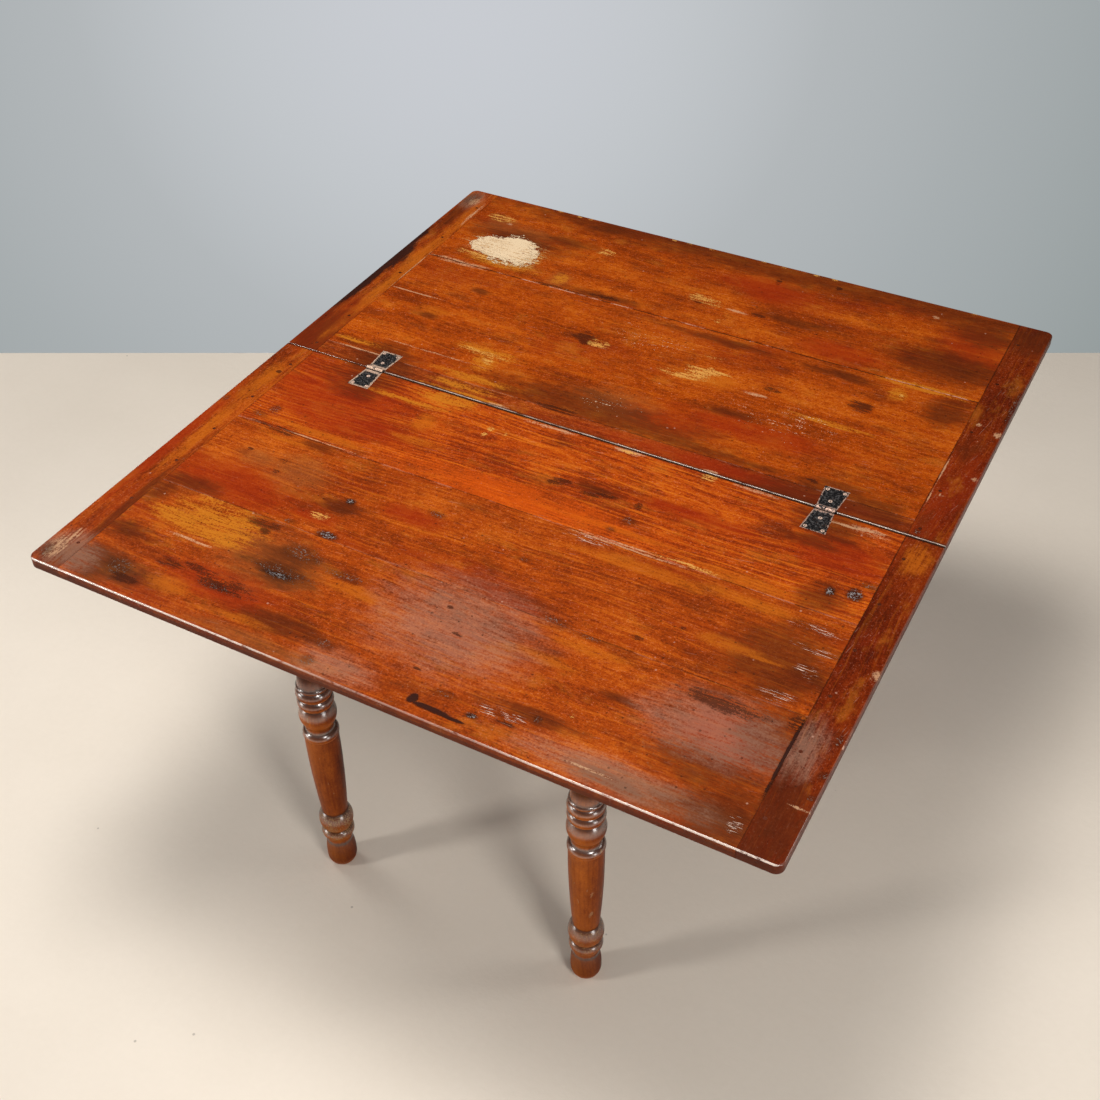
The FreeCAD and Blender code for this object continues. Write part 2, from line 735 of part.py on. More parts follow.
def leaf_pieces(leaf, seats):
    """Boards, cleats and nails of a leaf. seats are cut out of the boards that they are given for."""
    sign = LEAF_SIGN[leaf]
    blank = leaf_blank(leaf)
    level = grown((UNDER, TOP), PAST)
    room = "Sizes.nail_clearance"
    nails = []
    holes = {end: [] for end in ENDS}
    for board in BOARDS[leaf]:
        name = f"{leaf}_board_{board}"
        across = mirrored(board_span(leaf, board), sign)
        half = f"({BOARD_END} - Sizes.joint_gap / 2)"
        plank = common(f"{name}_plank", blank, box(f"{name}_limits", (f"-{half}", half), across, level))
        tongue_end = f"({BOARD_END} + Sizes.tongue_length)"
        inside = f"({half} - {PAST})"
        tongues = [
            box(f"{name}_tongue_{end}", mirrored((inside, tongue_end), end_sign),
                mirrored(tongue_span(leaf, board), sign), tongue_level())
            for end, end_sign in ENDS.items()
        ]
        nail_holes = cleat_nails(f"{name}_hole", leaf, board, room)
        board_nails = cleat_nails(f"{name}_nail", leaf, board)
        for end in ENDS:
            holes[end] += nail_holes[end]
            nails += board_nails[end]
        whole = fuse(f"{name}_whole", [plank, *tongues])
        tools = [hole for end in ENDS for hole in nail_holes[end]]
        piece(cut(name, whole, tools + seats.get(board, [])))
    groove_across = grown((f"{SEAM} + Sizes.groove_stop", "Sizes.leaf_width - Sizes.groove_stop"),
                          "Sizes.tongue_clearance")
    for end, end_sign in ENDS.items():
        name = f"{leaf}_cleat_{end}"
        along = (f"{BOARD_END} + Sizes.joint_gap / 2", f"{LEAF_END} + {PAST}")
        across = ("0", f"Sizes.leaf_width + {PAST}")
        limits = box(f"{name}_limits", mirrored(along, end_sign), mirrored(across, sign), level)
        groove_along = (BOARD_END, f"{BOARD_END} + Sizes.tongue_length + Sizes.tongue_clearance")
        groove = box(
            f"{name}_groove", mirrored(groove_along, end_sign), mirrored(groove_across, sign),
            tongue_level("Sizes.tongue_clearance"))
        piece(cut(name, common(f"{name}_strip", blank, limits), [groove, *holes[end]]))
    piece(group(f"{leaf}_cleat_nails", nails))


# Frame: legs, aprons with pegged tenons, and the rail for the pivot

APRON_SIDES = {"front": ("y", -1), "back": ("y", 1), "left": ("x", -1), "right": ("x", 1)}
OTHER = {"x": "y", "y": "x"}


def in_order(spans):
    """The spans of x and y, from a dictionary by axis."""
    return spans["x"], spans["y"]


def tenon(name, side, end_sign, room="0"):
    """The tenon at one end of an apron, or the mortise for it."""
    axis, sign = APRON_SIDES[side]
    along = OTHER[axis]
    middle = f"({APRON_OUT[axis]} - Sizes.apron_thickness / 2)"
    # The tenon starts inside the apron, so that the two join
    start = f"{LEG_IN[along]} - {PAST}"
    reach = f"{LEG_IN[along]} + Sizes.tenon_length + {room}"
    spans = {
        axis: mirrored(about(middle, f"Sizes.tenon_thickness + 2 * {room}"), sign),
        along: mirrored((start, reach), end_sign),
    }
    height = (f"{APRON_LOW} + Sizes.tenon_shoulder - {room}",
              f"{FRAME_TOP} - Sizes.tenon_shoulder + {room}")
    return box(name, *in_order(spans), height)


def pegs(name, side, end_sign, room="0"):
    """The two pegs through one tenon, from the leg's outer face, or their holes."""
    axis, sign = APRON_SIDES[side]
    along = OTHER[axis]
    depth = mirrored((f"{LEG_OUT[axis]} - Sizes.peg_length - {room}", LEG_OUT[axis]), sign)
    place = f"{end_sign} * ({LEG_IN[along]} + Sizes.tenon_length / 2)"
    return [
        rod(f"{name}_{level}", axis, depth, f"Sizes.peg_radius + {room}",
            (place, f"{FRAME_TOP} - Sizes.apron_depth / 2 + ({step}) * Sizes.peg_spacing / 2"))
        for level, step in (("low", -1), ("high", 1))
    ]


def apron(side, housing=()):
    """An apron with a tenon at each end. A housing takes the end of the rail."""
    axis, sign = APRON_SIDES[side]
    along = OTHER[axis]
    name = f"apron_{side}"
    spans = {
        axis: mirrored((APRON_IN[axis], APRON_OUT[axis]), sign),
        along: (f"-{LEG_IN[along]}", LEG_IN[along]),
    }
    board = box(f"{name}_board", *in_order(spans), (APRON_LOW, FRAME_TOP))
    tenons = [tenon(f"{name}_tenon_{end}", side, end_sign) for end, end_sign in ENDS.items()]
    holes = []
    for end, end_sign in ENDS.items():
        holes += pegs(f"{name}_hole_{end}", side, end_sign, "Sizes.peg_clearance")
    return piece(cut(name, fuse(f"{name}_whole", [board, *tenons]), holes + list(housing)))


SHAFT_HEIGHT = f"({BLOCK_LOW} - " + " - ".join(
    f"{count} * Sizes.{name}_height" for name, count in {
        "foot_low": 1, "foot_high": 1, "ankle": 1, "lower_ring": 1, "quirk": 1, "collar": 1,
        "shoulder": 1, "neck": 1, "bead": 1, "ring": 2, "upper_ring": 1, "cove": 1, "drum": 1,
        "top_ring": 2,
    }.items()) + ")"

# Each step of the turned outline: height, radius that it ends at, and rise of its arc
LEG_STEPS = [
    ("Sizes.foot_low_height", "Sizes.foot_radius", "Sizes.foot_low_rise"),
    ("Sizes.foot_high_height", "Sizes.ankle_radius", "Sizes.foot_high_rise"),
    ("Sizes.ankle_height", "Sizes.collar_root_radius", "-Sizes.ankle_rise"),
    ("Sizes.lower_ring_height", "Sizes.collar_root_radius", "Sizes.lower_ring_rise"),
    ("Sizes.quirk_height", "Sizes.collar_root_radius", None),
    ("Sizes.collar_height", "Sizes.shaft_foot_radius", "Sizes.collar_rise"),
    (SHAFT_HEIGHT, "Sizes.shaft_top_radius", "Sizes.shaft_rise"),
    ("Sizes.shoulder_height", "Sizes.neck_radius", "Sizes.shoulder_rise"),
    ("Sizes.neck_height", "Sizes.neck_radius", "-Sizes.neck_rise"),
    ("Sizes.bead_height", "Sizes.ring_root_radius", "Sizes.bead_rise"),
    ("Sizes.ring_height", "Sizes.ring_root_radius", "Sizes.ring_rise"),
    ("Sizes.ring_height", "Sizes.ring_root_radius", "Sizes.ring_rise"),
    ("Sizes.upper_ring_height", "Sizes.ring_root_radius", "Sizes.upper_ring_rise"),
    ("Sizes.cove_height", "Sizes.ring_root_radius", "-Sizes.cove_rise"),
    ("Sizes.drum_height", "Sizes.ring_root_radius", "Sizes.drum_rise"),
    ("Sizes.top_ring_height", "Sizes.ring_root_radius", "Sizes.top_ring_rise"),
    ("Sizes.top_ring_height", "Sizes.ring_root_radius", None),
]


def leg(front_or_back, left_or_right):
    """A turned leg with a square block, mortised for two aprons."""
    name = f"leg_{front_or_back}_{left_or_right}"
    y_sign = APRON_SIDES[front_or_back][1]
    x_sign = APRON_SIDES[left_or_right][1]
    body = doc.addObject("PartDesign::Body", f"{name}_turned")
    outline = sketch_on(body, f"{name}_outline", "XZ_Plane")
    turned_outline(outline, "Sizes.foot_contact_radius", LEG_STEPS)
    turning = body.newObject("PartDesign::Revolution", f"{name}_turning")
    turning.Profile = outline
    turning.ReferenceAxis = (outline, ["V_Axis"])
    turning.Angle = 360
    half = "Sizes.leg_block / 2"
    square = sketch_on(body, f"{name}_square", "XY_Plane")
    polygon(square, [(f"-{half}", f"-{half}"), (half, f"-{half}"), (half, half), (f"-{half}", half)])
    bind(square, {"AttachmentOffset.Base.z": BLOCK_LOW})
    pad(body, f"{name}_block", square, "Sizes.leg_block_length")
    # The corners of the block are turned away where it meets the round part
    corner = sketch_on(body, f"{name}_pommel", "XZ_Plane")
    outside = f"{CORNER_REACH} * Sizes.leg_block"
    polygon(corner, [
        (half, BLOCK_LOW), (outside, BLOCK_LOW), (outside, f"{BLOCK_LOW} + Sizes.leg_pommel")])
    pommel = body.newObject("PartDesign::Groove", f"{name}_pommel_cut")
    pommel.Profile = corner
    pommel.ReferenceAxis = (corner, ["V_Axis"])
    pommel.Angle = 360
    places = {"Placement.Base.x": f"{x_sign} * Sizes.leg_spread_x",
              "Placement.Base.y": f"{y_sign} * Sizes.leg_spread_y"}
    bind(body, places)
    tools = []
    for side, end_sign in ((front_or_back, x_sign), (left_or_right, y_sign)):
        tools.append(tenon(f"{name}_mortise_{side}", side, end_sign, "Sizes.tenon_clearance"))
        tools += pegs(f"{name}_hole_{side}", side, end_sign, "Sizes.peg_clearance")
    return piece(cut(name, body, tools))


def rail_block(name, room="0"):
    """The pivot rail across the frame, or the housing for its two ends."""
    reach = f"({APRON_IN['x']} + Sizes.rail_housing + {room})"
    return box(
        name, (f"-{reach}", reach), about(PIVOT, f"Sizes.rail_width + 2 * {room}"),
        (RAIL_LOW, f"{FRAME_TOP} + {room}"))


def frame_pieces():
    """Legs, aprons, pegs and the pivot rail."""
    for front_or_back in ("front", "back"):
        for left_or_right in ("left", "right"):
            leg(front_or_back, left_or_right)
    for side in ("front", "back"):
        apron(side)
    for side in ("left", "right"):
        apron(side, [rail_block(f"apron_{side}_housing", "Sizes.rail_clearance")])
    all_pegs = []
    for side in APRON_SIDES:
        for end, end_sign in ENDS.items():
            all_pegs += pegs(f"peg_{side}_{end}", side, end_sign)
    piece(group("joint_pegs", all_pegs))
    hole = rod(
        "pivot_rail_hole", "z", grown((RAIL_LOW, FRAME_TOP), PAST), BOLT_HOLE, PIVOT_CENTRE)
    piece(cut("pivot_rail", rail_block("pivot_rail_block"), [hole]))


# Well under the top: loose floor boards on ledgers nailed to the long aprons

def well_pieces():
    """Ledgers with their nails, and the floor boards."""
    gap = "Sizes.floor_gap"
    level = run(APRON_LOW, "Sizes.ledger_height", 1)
    ledger_end = f"({LEG_IN['y']} - {gap})"
    nails = []
    for end, sign in ENDS.items():
        name = f"ledger_{end}"
        face = f"({APRON_IN['x']} - Sizes.ledger_width)"
        strip = box(
            f"{name}_strip", mirrored((face, APRON_IN["x"]), sign), (f"-{ledger_end}", ledger_end), level)
        places = [
            (f"({step}) * Sizes.ledger_nail_spacing", f"{APRON_LOW} + Sizes.ledger_height / 2")
            for step in (-1, 0, 1)
        ]
        start = f"{sign} * {face}"
        holes = [
            nail(f"{name}_hole_{index}", "x", start, sign, place, "Sizes.nail_clearance")
            for index, place in enumerate(places)
        ]
        nails += [
            nail(f"{name}_nail_{index}", "x", start, sign, place) for index, place in enumerate(places)
        ]
        piece(cut(name, strip, holes))
    piece(group("ledger_nails", nails))
    half_floor = f"({APRON_IN['y']} - {gap})"
    width = f"(2 * {half_floor} / {FLOOR_BOARDS})"
    across = f"({APRON_IN['x']} - {gap})"
    thickness = run(f"{APRON_LOW} + Sizes.ledger_height", "Sizes.floor_thickness", 1)
    for number in range(1, FLOOR_BOARDS + 1):
        name = f"well_floor_{number}"
        low = f"-{half_floor} + {number - 1} * {width}"
        along = (low, f"{low} + {width} - {gap}")
        board = box(f"{name}_board", (f"-{across}", across), along, thickness)
        legs = [
            box(f"{name}_leg_{x_sign}_{y_sign}",
                mirrored((f"{LEG_IN['x']} - {gap}", LEG_OUT["x"]), x_sign),
                mirrored((f"{LEG_IN['y']} - {gap}", LEG_OUT["y"]), y_sign), thickness)
            for x_sign in (-1, 1) for y_sign in (-1, 1)
        ]
        piece(cut(name, board, legs))


# Put the table together, test it and write its pieces

frame_pieces()
well_pieces()
pivot_seats = pivot_seat()
leaf_pieces("fixed", {"seam": hinge_seats("fixed") + pivot_seats, "middle": pivot_seats})
fold_seats = hinge_seats("fold")
leaf_pieces("fold", {"strip": fold_seats, "middle": fold_seats})
for hinge_side in HINGES:
    hinge_plate("fixed", hinge_side)
    hinge_plate("fold", hinge_side)
    hinge_pin(hinge_side)
for hinged_leaf in LEAF_SIGN:
    hinge_screws(hinged_leaf)
pivot_pieces()
doc.recompute()

failed = [thing.Name for thing in doc.Objects if {"Invalid", "Error"} & set(thing.State)]
if failed:
    raise RuntimeError("failed objects: " + ", ".join(failed))
for thing in pieces:
    if thing.Shape.isNull() or not thing.Shape.isValid() or not thing.Shape.Solids:
        raise RuntimeError(f"{thing.Label} has no sound solid")

os.makedirs("parts", exist_ok=True)
for thing in pieces:
    thing.Shape.exportStep(os.path.join("parts", f"{thing.Label}.step"))
    print(f"{thing.Label}: {len(thing.Shape.Solids)} solids, {thing.Shape.Volume / 1000:.1f} cm3")
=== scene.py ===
"""Looks of a swivel-top table: old varnished boards, turned legs and two iron butterfly hinges.

Lengths are in metres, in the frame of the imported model: x runs along the seam between the two leaves,
y from the fixed leaf towards the fold leaf, and z up from the floor.
"""
import logging
import math
from dataclasses import dataclass, replace
from enum import Enum
from functools import reduce
from typing import Any, Mapping, Optional, Sequence, Union

import bpy
from mathutils import Matrix, Vector


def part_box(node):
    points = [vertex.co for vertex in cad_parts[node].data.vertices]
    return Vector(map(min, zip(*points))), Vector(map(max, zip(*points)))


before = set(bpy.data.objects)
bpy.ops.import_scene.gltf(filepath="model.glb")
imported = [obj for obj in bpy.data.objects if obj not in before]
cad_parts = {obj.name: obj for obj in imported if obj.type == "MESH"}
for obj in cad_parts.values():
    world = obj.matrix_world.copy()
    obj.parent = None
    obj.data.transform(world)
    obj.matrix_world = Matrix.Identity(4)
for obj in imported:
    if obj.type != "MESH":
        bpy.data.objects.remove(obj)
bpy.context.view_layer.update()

LOG = logging.getLogger("swivel_top_table")
NOISE_MEAN = 0.5

Colour = tuple[float, float, float, float]
Point = tuple[float, float, float]
Span = tuple[float, float]
Spot = tuple[float, float, float, float]
Stops = Sequence[tuple[float, Colour]]
Value = Union["Wire", float]


def rgb(red: float, green: float, blue: float) -> Colour:
    """An opaque colour from its linear parts."""
    return (red, green, blue, 1.0)


class Axis(Enum):
    """The direction in which a piece's grain runs, with the order of along, across and deep."""

    X = (0, 1, 2)
    Y = (1, 0, 2)
    Z = (2, 0, 1)


class Wire:
    """One output of a shader node, which takes part in sums the way a number does."""

    def __init__(self, paint: "Paint", socket: Optional[bpy.types.NodeSocket]) -> None:
        """Keep the output and the tree that it belongs to."""
        self.paint = paint
        self.socket = socket

    def math(self, operation: str, *others: Value) -> "Wire":
        """A Math node on this value and the others, in that order."""
        return self.paint.node("Math", {"operation": operation}, dict(enumerate((self, *others))))

    def __add__(self, other: Value) -> "Wire":
        """This value plus another."""
        return self.math("ADD", other)

    def __sub__(self, other: Value) -> "Wire":
        """This value less another."""
        return self.math("SUBTRACT", other)

    def __rsub__(self, other: float) -> "Wire":
        """A number less this value."""
        return self.paint.node("Math", {"operation": "SUBTRACT"}, {0: other, 1: self})

    def __mul__(self, other: Value) -> "Wire":
        """This value times another."""
        return self.math("MULTIPLY", other)

    def __abs__(self) -> "Wire":
        """This value without its sign."""
        return self.math("ABSOLUTE")

    __radd__ = __add__
    __rmul__ = __mul__

    def least(self, other: Value) -> "Wire":
        """The smaller of two values."""
        return self.math("MINIMUM", other)

    def most(self, other: Value) -> "Wire":
        """The larger of two values."""
        return self.math("MAXIMUM", other)

    def step(self, low: float, high: float) -> "Wire":
        """A smooth step from 0 at low to 1 at high, where low may be the larger number."""
        inputs = {"Value": self, "From Min": low, "From Max": high}
        return self.paint.node("MapRange", {"interpolation_type": "SMOOTHSTEP"}, inputs)

    def swing(self, amount: float) -> "Wire":
        """Noise that swings both ways from 0 instead of from its mean, times an amount."""
        return (self - NOISE_MEAN) * amount

    def sibling(self, output: Union[int, str]) -> "Wire":
        """Another output of the same node."""
        return Wire(self.paint, self.socket.node.outputs[output])


class Paint:
    """A node tree under construction, for a material or for the surroundings."""

    def __init__(self, tree: bpy.types.NodeTree) -> None:
        """Start from an empty tree."""
        tree.nodes.clear()
        self.tree = tree

    def node(
        self,
        kind: str,
        settings: Mapping[str, Any],
        inputs: Mapping[Union[int, str], Any],
        output: Union[int, str] = 0,
    ) -> Wire:
        """Add a node, set it up and feed its sockets.

        Args:
            kind: the node's type without its ShaderNode prefix.
            settings: the node's own settings; a ramp's stops are position and colour pairs.
            inputs: a value or a wire for each socket, by index or name.
            output: the output to hand back.

        Returns:
            The chosen output.
        """
        made = self.tree.nodes.new(f"ShaderNode{kind}")
        for name, setting in settings.items():
            if name == "stops":
                self.set_stops(made.color_ramp.elements, setting)
            else:
                setattr(made, name, setting)
        for key, item in inputs.items():
            if isinstance(item, Wire):
                self.tree.links.new(item.socket, made.inputs[key])
            else:
                made.inputs[key].default_value = item
        return Wire(self, made.outputs[output]) if made.outputs else Wire(self, None)

    @staticmethod
    def set_stops(elements: Any, stops: Stops) -> None:
        """Give a ramp its stops.

        Args:
            elements: the ramp's elements, two of them to begin with.
            stops: position and colour of each stop, in rising order.
        """
        while len(elements) < len(stops):
            elements.new(1.0)
        for element, (position, colour) in zip(elements, stops):
            element.position = position
            element.color = colour

    def place(self, coordinate: str = "Object") -> Wire:
        """The point on the surface, or another of the texture coordinates."""
        return self.node("TexCoord", {}, {}, coordinate)

    def axes(self, place: Wire) -> tuple[Wire, Wire, Wire]:
        """The three parts of a vector."""
        first = self.node("SeparateXYZ", {}, {0: place})
        return first, first.sibling(1), first.sibling(2)

    def point(self, x: Value, y: Value, z: Value) -> Wire:
        """A vector from three values."""
        return self.node("CombineXYZ", {}, {0: x, 1: y, 2: z})

    def vector(self, operation: str, *parts: Any, output: str = "Vector") -> Wire:
        """A Vector Math node on some vectors, in that order."""
        return self.node("VectorMath", {"operation": operation}, dict(enumerate(parts)), output)

    def noise(
        self, place: Wire, scale: float, detail: float = 3.0, roughness: float = 0.55, output: str = "Fac"
    ) -> Wire:
        """Cloudy noise from 0 to 1, or three of them as a colour."""
        inputs = {"Vector": place, "Scale": scale, "Detail": detail, "Roughness": roughness}
        return self.node("TexNoise", {}, inputs, output)

    def drift(self, place: Wire, scale: float, detail: float, roughness: float) -> Wire:
        """A vector that wanders about zero."""
        cloud = self.noise(place, scale, detail, roughness, "Color")
        return self.vector("SUBTRACT", cloud, (NOISE_MEAN, NOISE_MEAN, NOISE_MEAN))

    def cells(self, place: Wire, scale: float) -> tuple[Wire, Wire]:
        """How far a point lies from the middle of its cell, and a number from 0 to 1 drawn for the cell."""
        far = self.node("TexVoronoi", {}, {"Vector": place, "Scale": scale}, "Distance")
        return far, self.axes(far.sibling("Color"))[0]

    def blend(self, base: Any, over: Any, amount: Value) -> Wire:
        """One colour laid over another by some amount."""
        return self.node("Mix", {"data_type": "RGBA"}, {0: amount, 6: base, 7: over}, 2)

    def ramp(self, value: Wire, stops: Stops) -> Wire:
        """A colour read from a value between stops."""
        return self.node("ValToRGB", {"stops": stops}, {0: value})


@dataclass
class Skin:
    """A surface while it is painted: its node tree, and its colour, roughness and height so far."""

    paint: Paint
    colour: Wire
    rough: Wire
    height: Wire

    def lay(self, colour: Any, amount: Value) -> None:
        """Lay a colour over the surface by some amount."""
        self.colour = self.paint.blend(self.colour, colour, amount)

    def finish(self, depth: float, sockets: Mapping[str, Value]) -> None:
        """Hand the surface to a principled shader, and that to the tree's output.

        Args:
            depth: the depth that the height's range from 0 to 1 stands for.
            sockets: the shader's other values.
        """
        heights = {"Height": self.height, "Distance": depth, "Strength": 1.0}
        normal = self.paint.node("Bump", {}, heights)
        own = {"Base Color": self.colour, "Roughness": self.rough, "Normal": normal}
        shader = self.paint.node("BsdfPrincipled", {}, {**own, **sockets})
        self.paint.node("OutputMaterial", {}, {"Surface": shader})


def new_paint(name: str) -> tuple[bpy.types.Material, Paint]:
    """Make a new material.

    Args:
        name: the material's name.

    Returns:
        The material and its empty node tree.
    """
    material = bpy.data.materials.new(name)
    material.use_nodes = True
    return material, Paint(material.node_tree)


def dress(node: str, material: bpy.types.Material) -> None:
    """Give one of the model's nodes its material and report it.

    Args:
        node: the node.
        material: its material.
    """
    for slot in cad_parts[node].material_slots:
        slot.material = material
    LOG.info("%s: %s", node, material.name)


@dataclass(frozen=True)
class Tones:
    """Three colours of one stained wood, from its dark lines to its pale ones."""

    dark: Colour
    middle: Colour
    pale: Colour

    LEVELS = (0.18, 0.5, 0.86)

    def stops(self) -> Stops:
        """The tones as stops of a ramp."""
        return list(zip(self.LEVELS, (self.dark, self.middle, self.pale)))


@dataclass(frozen=True)
class Cut:
    """How a piece was sawn: its grain's direction, and where the tree's heart lay from its middle.

    Attributes:
        axis: the grain's direction.
        across: the heart's place across the piece.
        deep: how far the heart lay below the piece's middle.
        lean: how far the heart sinks for each metre along the grain.
        seed: a number that sets this piece's figure apart from the others'.
        lines: how strongly the grain's lines show.
        texture: how strongly its streaks, fibres and mottling show.
    """

    axis: Axis
    across: float
    deep: float
    lean: float
    seed: float
    lines: float = 0.5
    texture: float = 1.0


class Figure:
    """The figure of sawn wood, worked out in a node tree: growth rings, lines, fibre and flecks."""

    RING_WIDTH = 0.0065
    SWAY = 0.05
    CURL = 0.008

    def __init__(self, paint: Paint, cut: Cut, node: str) -> None:
        """Lay the figure out along the grain of one node.

        Args:
            paint: the tree to work in.
            cut: how the piece was sawn.
            node: the node, whose box gives the piece's middle.
        """
        low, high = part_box(node)
        middle = (low + high) / 2
        self.paint = paint
        self.seed = cut.seed
        self.place = paint.place()
        self.axes = paint.axes(self.place)
        self.length, self.width, depth = (self.axes[i] - middle[i] for i in cut.axis.value)
        sway = paint.noise(self.stretched(1.9, 4.0), 1.0, 2.0)
        curl = paint.noise(self.stretched(8.0, 16.0, 3.0), 1.0, 2.0)
        self.wavy = self.width + sway.swing(self.SWAY) + curl.swing(self.CURL)
        self.depth = depth + cut.seed
        out = self.wavy - cut.across
        down = depth + cut.deep + self.length * cut.lean
        radius = (out * out + down * down).math("SQRT")
        rings = (radius * (1.0 / self.RING_WIDTH) + sway.swing(1.5)).math("FRACT")
        late = rings.step(0.25, 0.85) * rings.step(1.0, 0.88)
        band = self.grain(3.2, 34.0, 3.0, 0.55)
        self.line = self.grain(5.0, 230.0, 3.0, 0.6)
        self.fibre = self.grain(60.0, 620.0, 2.0, 0.62)
        self.streak = self.grain(24.0, 250.0, 4.0, 0.68)
        self.cloud = self.grain(5.0, 10.0, 4.0, 0.55)
        self.mottle = self.grain(52.0, 95.0, 5.0, 0.72)
        self.fleck = paint.noise(self.place, 330.0, 3.0, 0.7)
        self.tone = (
            0.5
            + self.cloud.swing(1.1)
            + band.swing(0.5)
            + self.mottle.swing(0.85 * cut.texture)
            + self.line.swing(0.6 * cut.lines)
            + self.streak.swing(0.38 * cut.texture)
            + self.fibre.swing(0.5 * cut.texture)
            + self.fleck.swing(0.9 * cut.texture)
            - late * (0.16 * cut.lines)
        )

    def stretched(self, along: float, across: float, layer: float = 0.0) -> Wire:
        """The point on the surface, scaled along and across the grain, for noise to be read at."""
        return self.paint.point(self.length * along, self.width * across, self.seed + layer)

    def grain(self, along: float, across: float, detail: float, roughness: float) -> Wire:
        """Noise that follows the grain's waves, scaled along and across it."""
        place = self.paint.point(self.length * along, self.wavy * across, self.depth * across)
        return self.paint.noise(place, 1.0, detail, roughness)


@dataclass(frozen=True)
class MarkLook:
    """How one kind of mark looks.

    Attributes:
        colour: the mark's colour.
        strength: how far it hides the wood.
        soft: how far inside and outside its reach it fades, as a part of its reach.
        edge: how blurred the flecks that it breaks into are.
        ragged: how far its outline wanders, as a part of its reach.
        broken: how strongly it breaks up into streaks and flecks.
        gaps: how much of it is gaps, 0.5 being about half.
        halo: how dark the dirt round it is, from 0 to 1.
        roughness: what the mark adds to the surface's roughness.
        dent: how deep it lies in the surface, from 0 to 1.
        jagged: how far the small jags of its outline reach, as a part of its reach.
        crazed: whether it breaks into flecks alone, with no streaks along the grain.
    """

    colour: Colour
    strength: float
    soft: float
    edge: float
    ragged: float
    broken: float
    gaps: float = 0.0
    halo: float = 0.0
    roughness: float = 0.0
    dent: float = 0.0
    jagged: float = 0.0
    crazed: bool = False


class Mark(Enum):
    """The kinds of mark on the top, in the order in which they lie over each other.

    Attributes:
        RED: thick red finish.
        DULL: dull olive finish.
        GRIME: dark grime.
        WARM: thin orange finish.
        GLOW: thin golden finish.
        EMBER: bright orange finish.
        BLOOM: dull bloom, partly a painted sheen.
        PALE: pale rubbed wood.
        KNOT: dark knot.
        FLAKE: flaked finish over yellow wood.
        BARE: bare wood.
        TAN: stained bare wood.
        CHIP: crinkled finish, its grey flecks painted glints.
        GREY: grey broken finish, its pale flecks painted glints.
        GOUGE: black gouge.
        SCRATCH: white scratches.
        SPECK: white specks.
    """

    RED = MarkLook(rgb(0.24, 0.016, 0.003), 0.6, 0.9, 0.48, 1.6, 0.25)
    DULL = MarkLook(rgb(0.20, 0.070, 0.018), 0.42, 0.9, 0.48, 1.8, 0.35, roughness=0.08)
    GRIME = MarkLook(rgb(0.055, 0.012, 0.004), 0.68, 0.92, 0.48, 2.0, 0.45)
    WARM = MarkLook(rgb(0.40, 0.098, 0.006), 0.62, 0.92, 0.5, 1.8, 0.6, gaps=0.1, roughness=0.04)
    GLOW = MarkLook(rgb(0.44, 0.145, 0.010), 0.80, 0.92, 0.42, 1.8, 0.95, gaps=0.14, roughness=0.04)
    EMBER = MarkLook(rgb(0.52, 0.075, 0.004), 0.55, 0.92, 0.5, 1.8, 0.5)
    # Painted sheen: the bloom's pale pinkish colour stands in for a soft reflection as well as dull finish.
    BLOOM = MarkLook(rgb(0.29, 0.175, 0.12), 0.40, 0.9, 0.5, 1.5, 0.6, gaps=0.1, roughness=0.1)
    PALE = MarkLook(rgb(0.50, 0.29, 0.16), 0.66, 0.9, 0.3, 2.2, 0.8, gaps=0.35, roughness=0.15, dent=0.2)
    KNOT = MarkLook(
        rgb(0.046, 0.010, 0.004), 0.84, 0.8, 0.28, 2.4, 1.0,
        gaps=0.2, roughness=0.05, dent=0.4, jagged=0.6,
    )
    FLAKE = MarkLook(
        rgb(0.56, 0.27, 0.06), 0.85, 0.9, 0.24, 2.4, 1.0,
        gaps=0.36, roughness=0.2, dent=0.4, jagged=0.3,
    )
    BARE = MarkLook(
        rgb(0.66, 0.51, 0.33), 0.97, 0.35, 0.12, 1.1, 1.0,
        gaps=-0.5, roughness=0.4, dent=0.6, jagged=1.5,
    )
    TAN = MarkLook(rgb(0.42, 0.22, 0.08), 0.7, 0.8, 0.3, 0.8, 1.6, gaps=0.62, dent=0.3, jagged=0.5)
    # Painted glints: the chips' grey flecks stand in for light caught by the crinkled finish.
    CHIP = MarkLook(
        rgb(0.21, 0.17, 0.145), 0.6, 0.9, 0.3, 2.4, 1.9,
        gaps=0.72, halo=0.42, roughness=0.15, dent=0.8, jagged=0.6, crazed=True,
    )
    # Painted glints: the pale flecks stand in for light caught by the broken finish.
    GREY = MarkLook(
        rgb(0.30, 0.275, 0.275), 0.75, 0.8, 0.3, 1.6, 1.6,
        gaps=0.5, halo=0.9, roughness=0.15, dent=0.8, jagged=0.6, crazed=True,
    )
    GOUGE = MarkLook(rgb(0.022, 0.008, 0.006), 0.94, 0.5, 0.3, 1.6, 0.4, halo=0.3, roughness=0.25, dent=1.0)
    SCRATCH = MarkLook(rgb(0.72, 0.52, 0.42), 0.8, 0.8, 0.3, 1.2, 0.3, halo=0.15, roughness=0.3, dent=0.5)
    SPECK = MarkLook(rgb(0.66, 0.45, 0.30), 0.8, 0.9, 0.14, 1.5, 1.2, gaps=1.25, roughness=0.2, dent=0.4)


@dataclass(frozen=True)
class Plank:
    """One plank of the top.

    Attributes:
        node: its node.
        tones: its stained wood.
        cut: how it was sawn.
        marks: its marks by kind, each with its middle's x and y and its reaches along x and y.
    """

    node: str
    tones: Tones
    cut: Cut
    marks: Mapping[Mark, tuple[Spot, ...]]


class Beneath(Enum):
    """How far a leaf's lower face is bare wood; the fold leaf's is the top of the folded table."""

    RAW = 1.0
    VARNISHED = 0.0


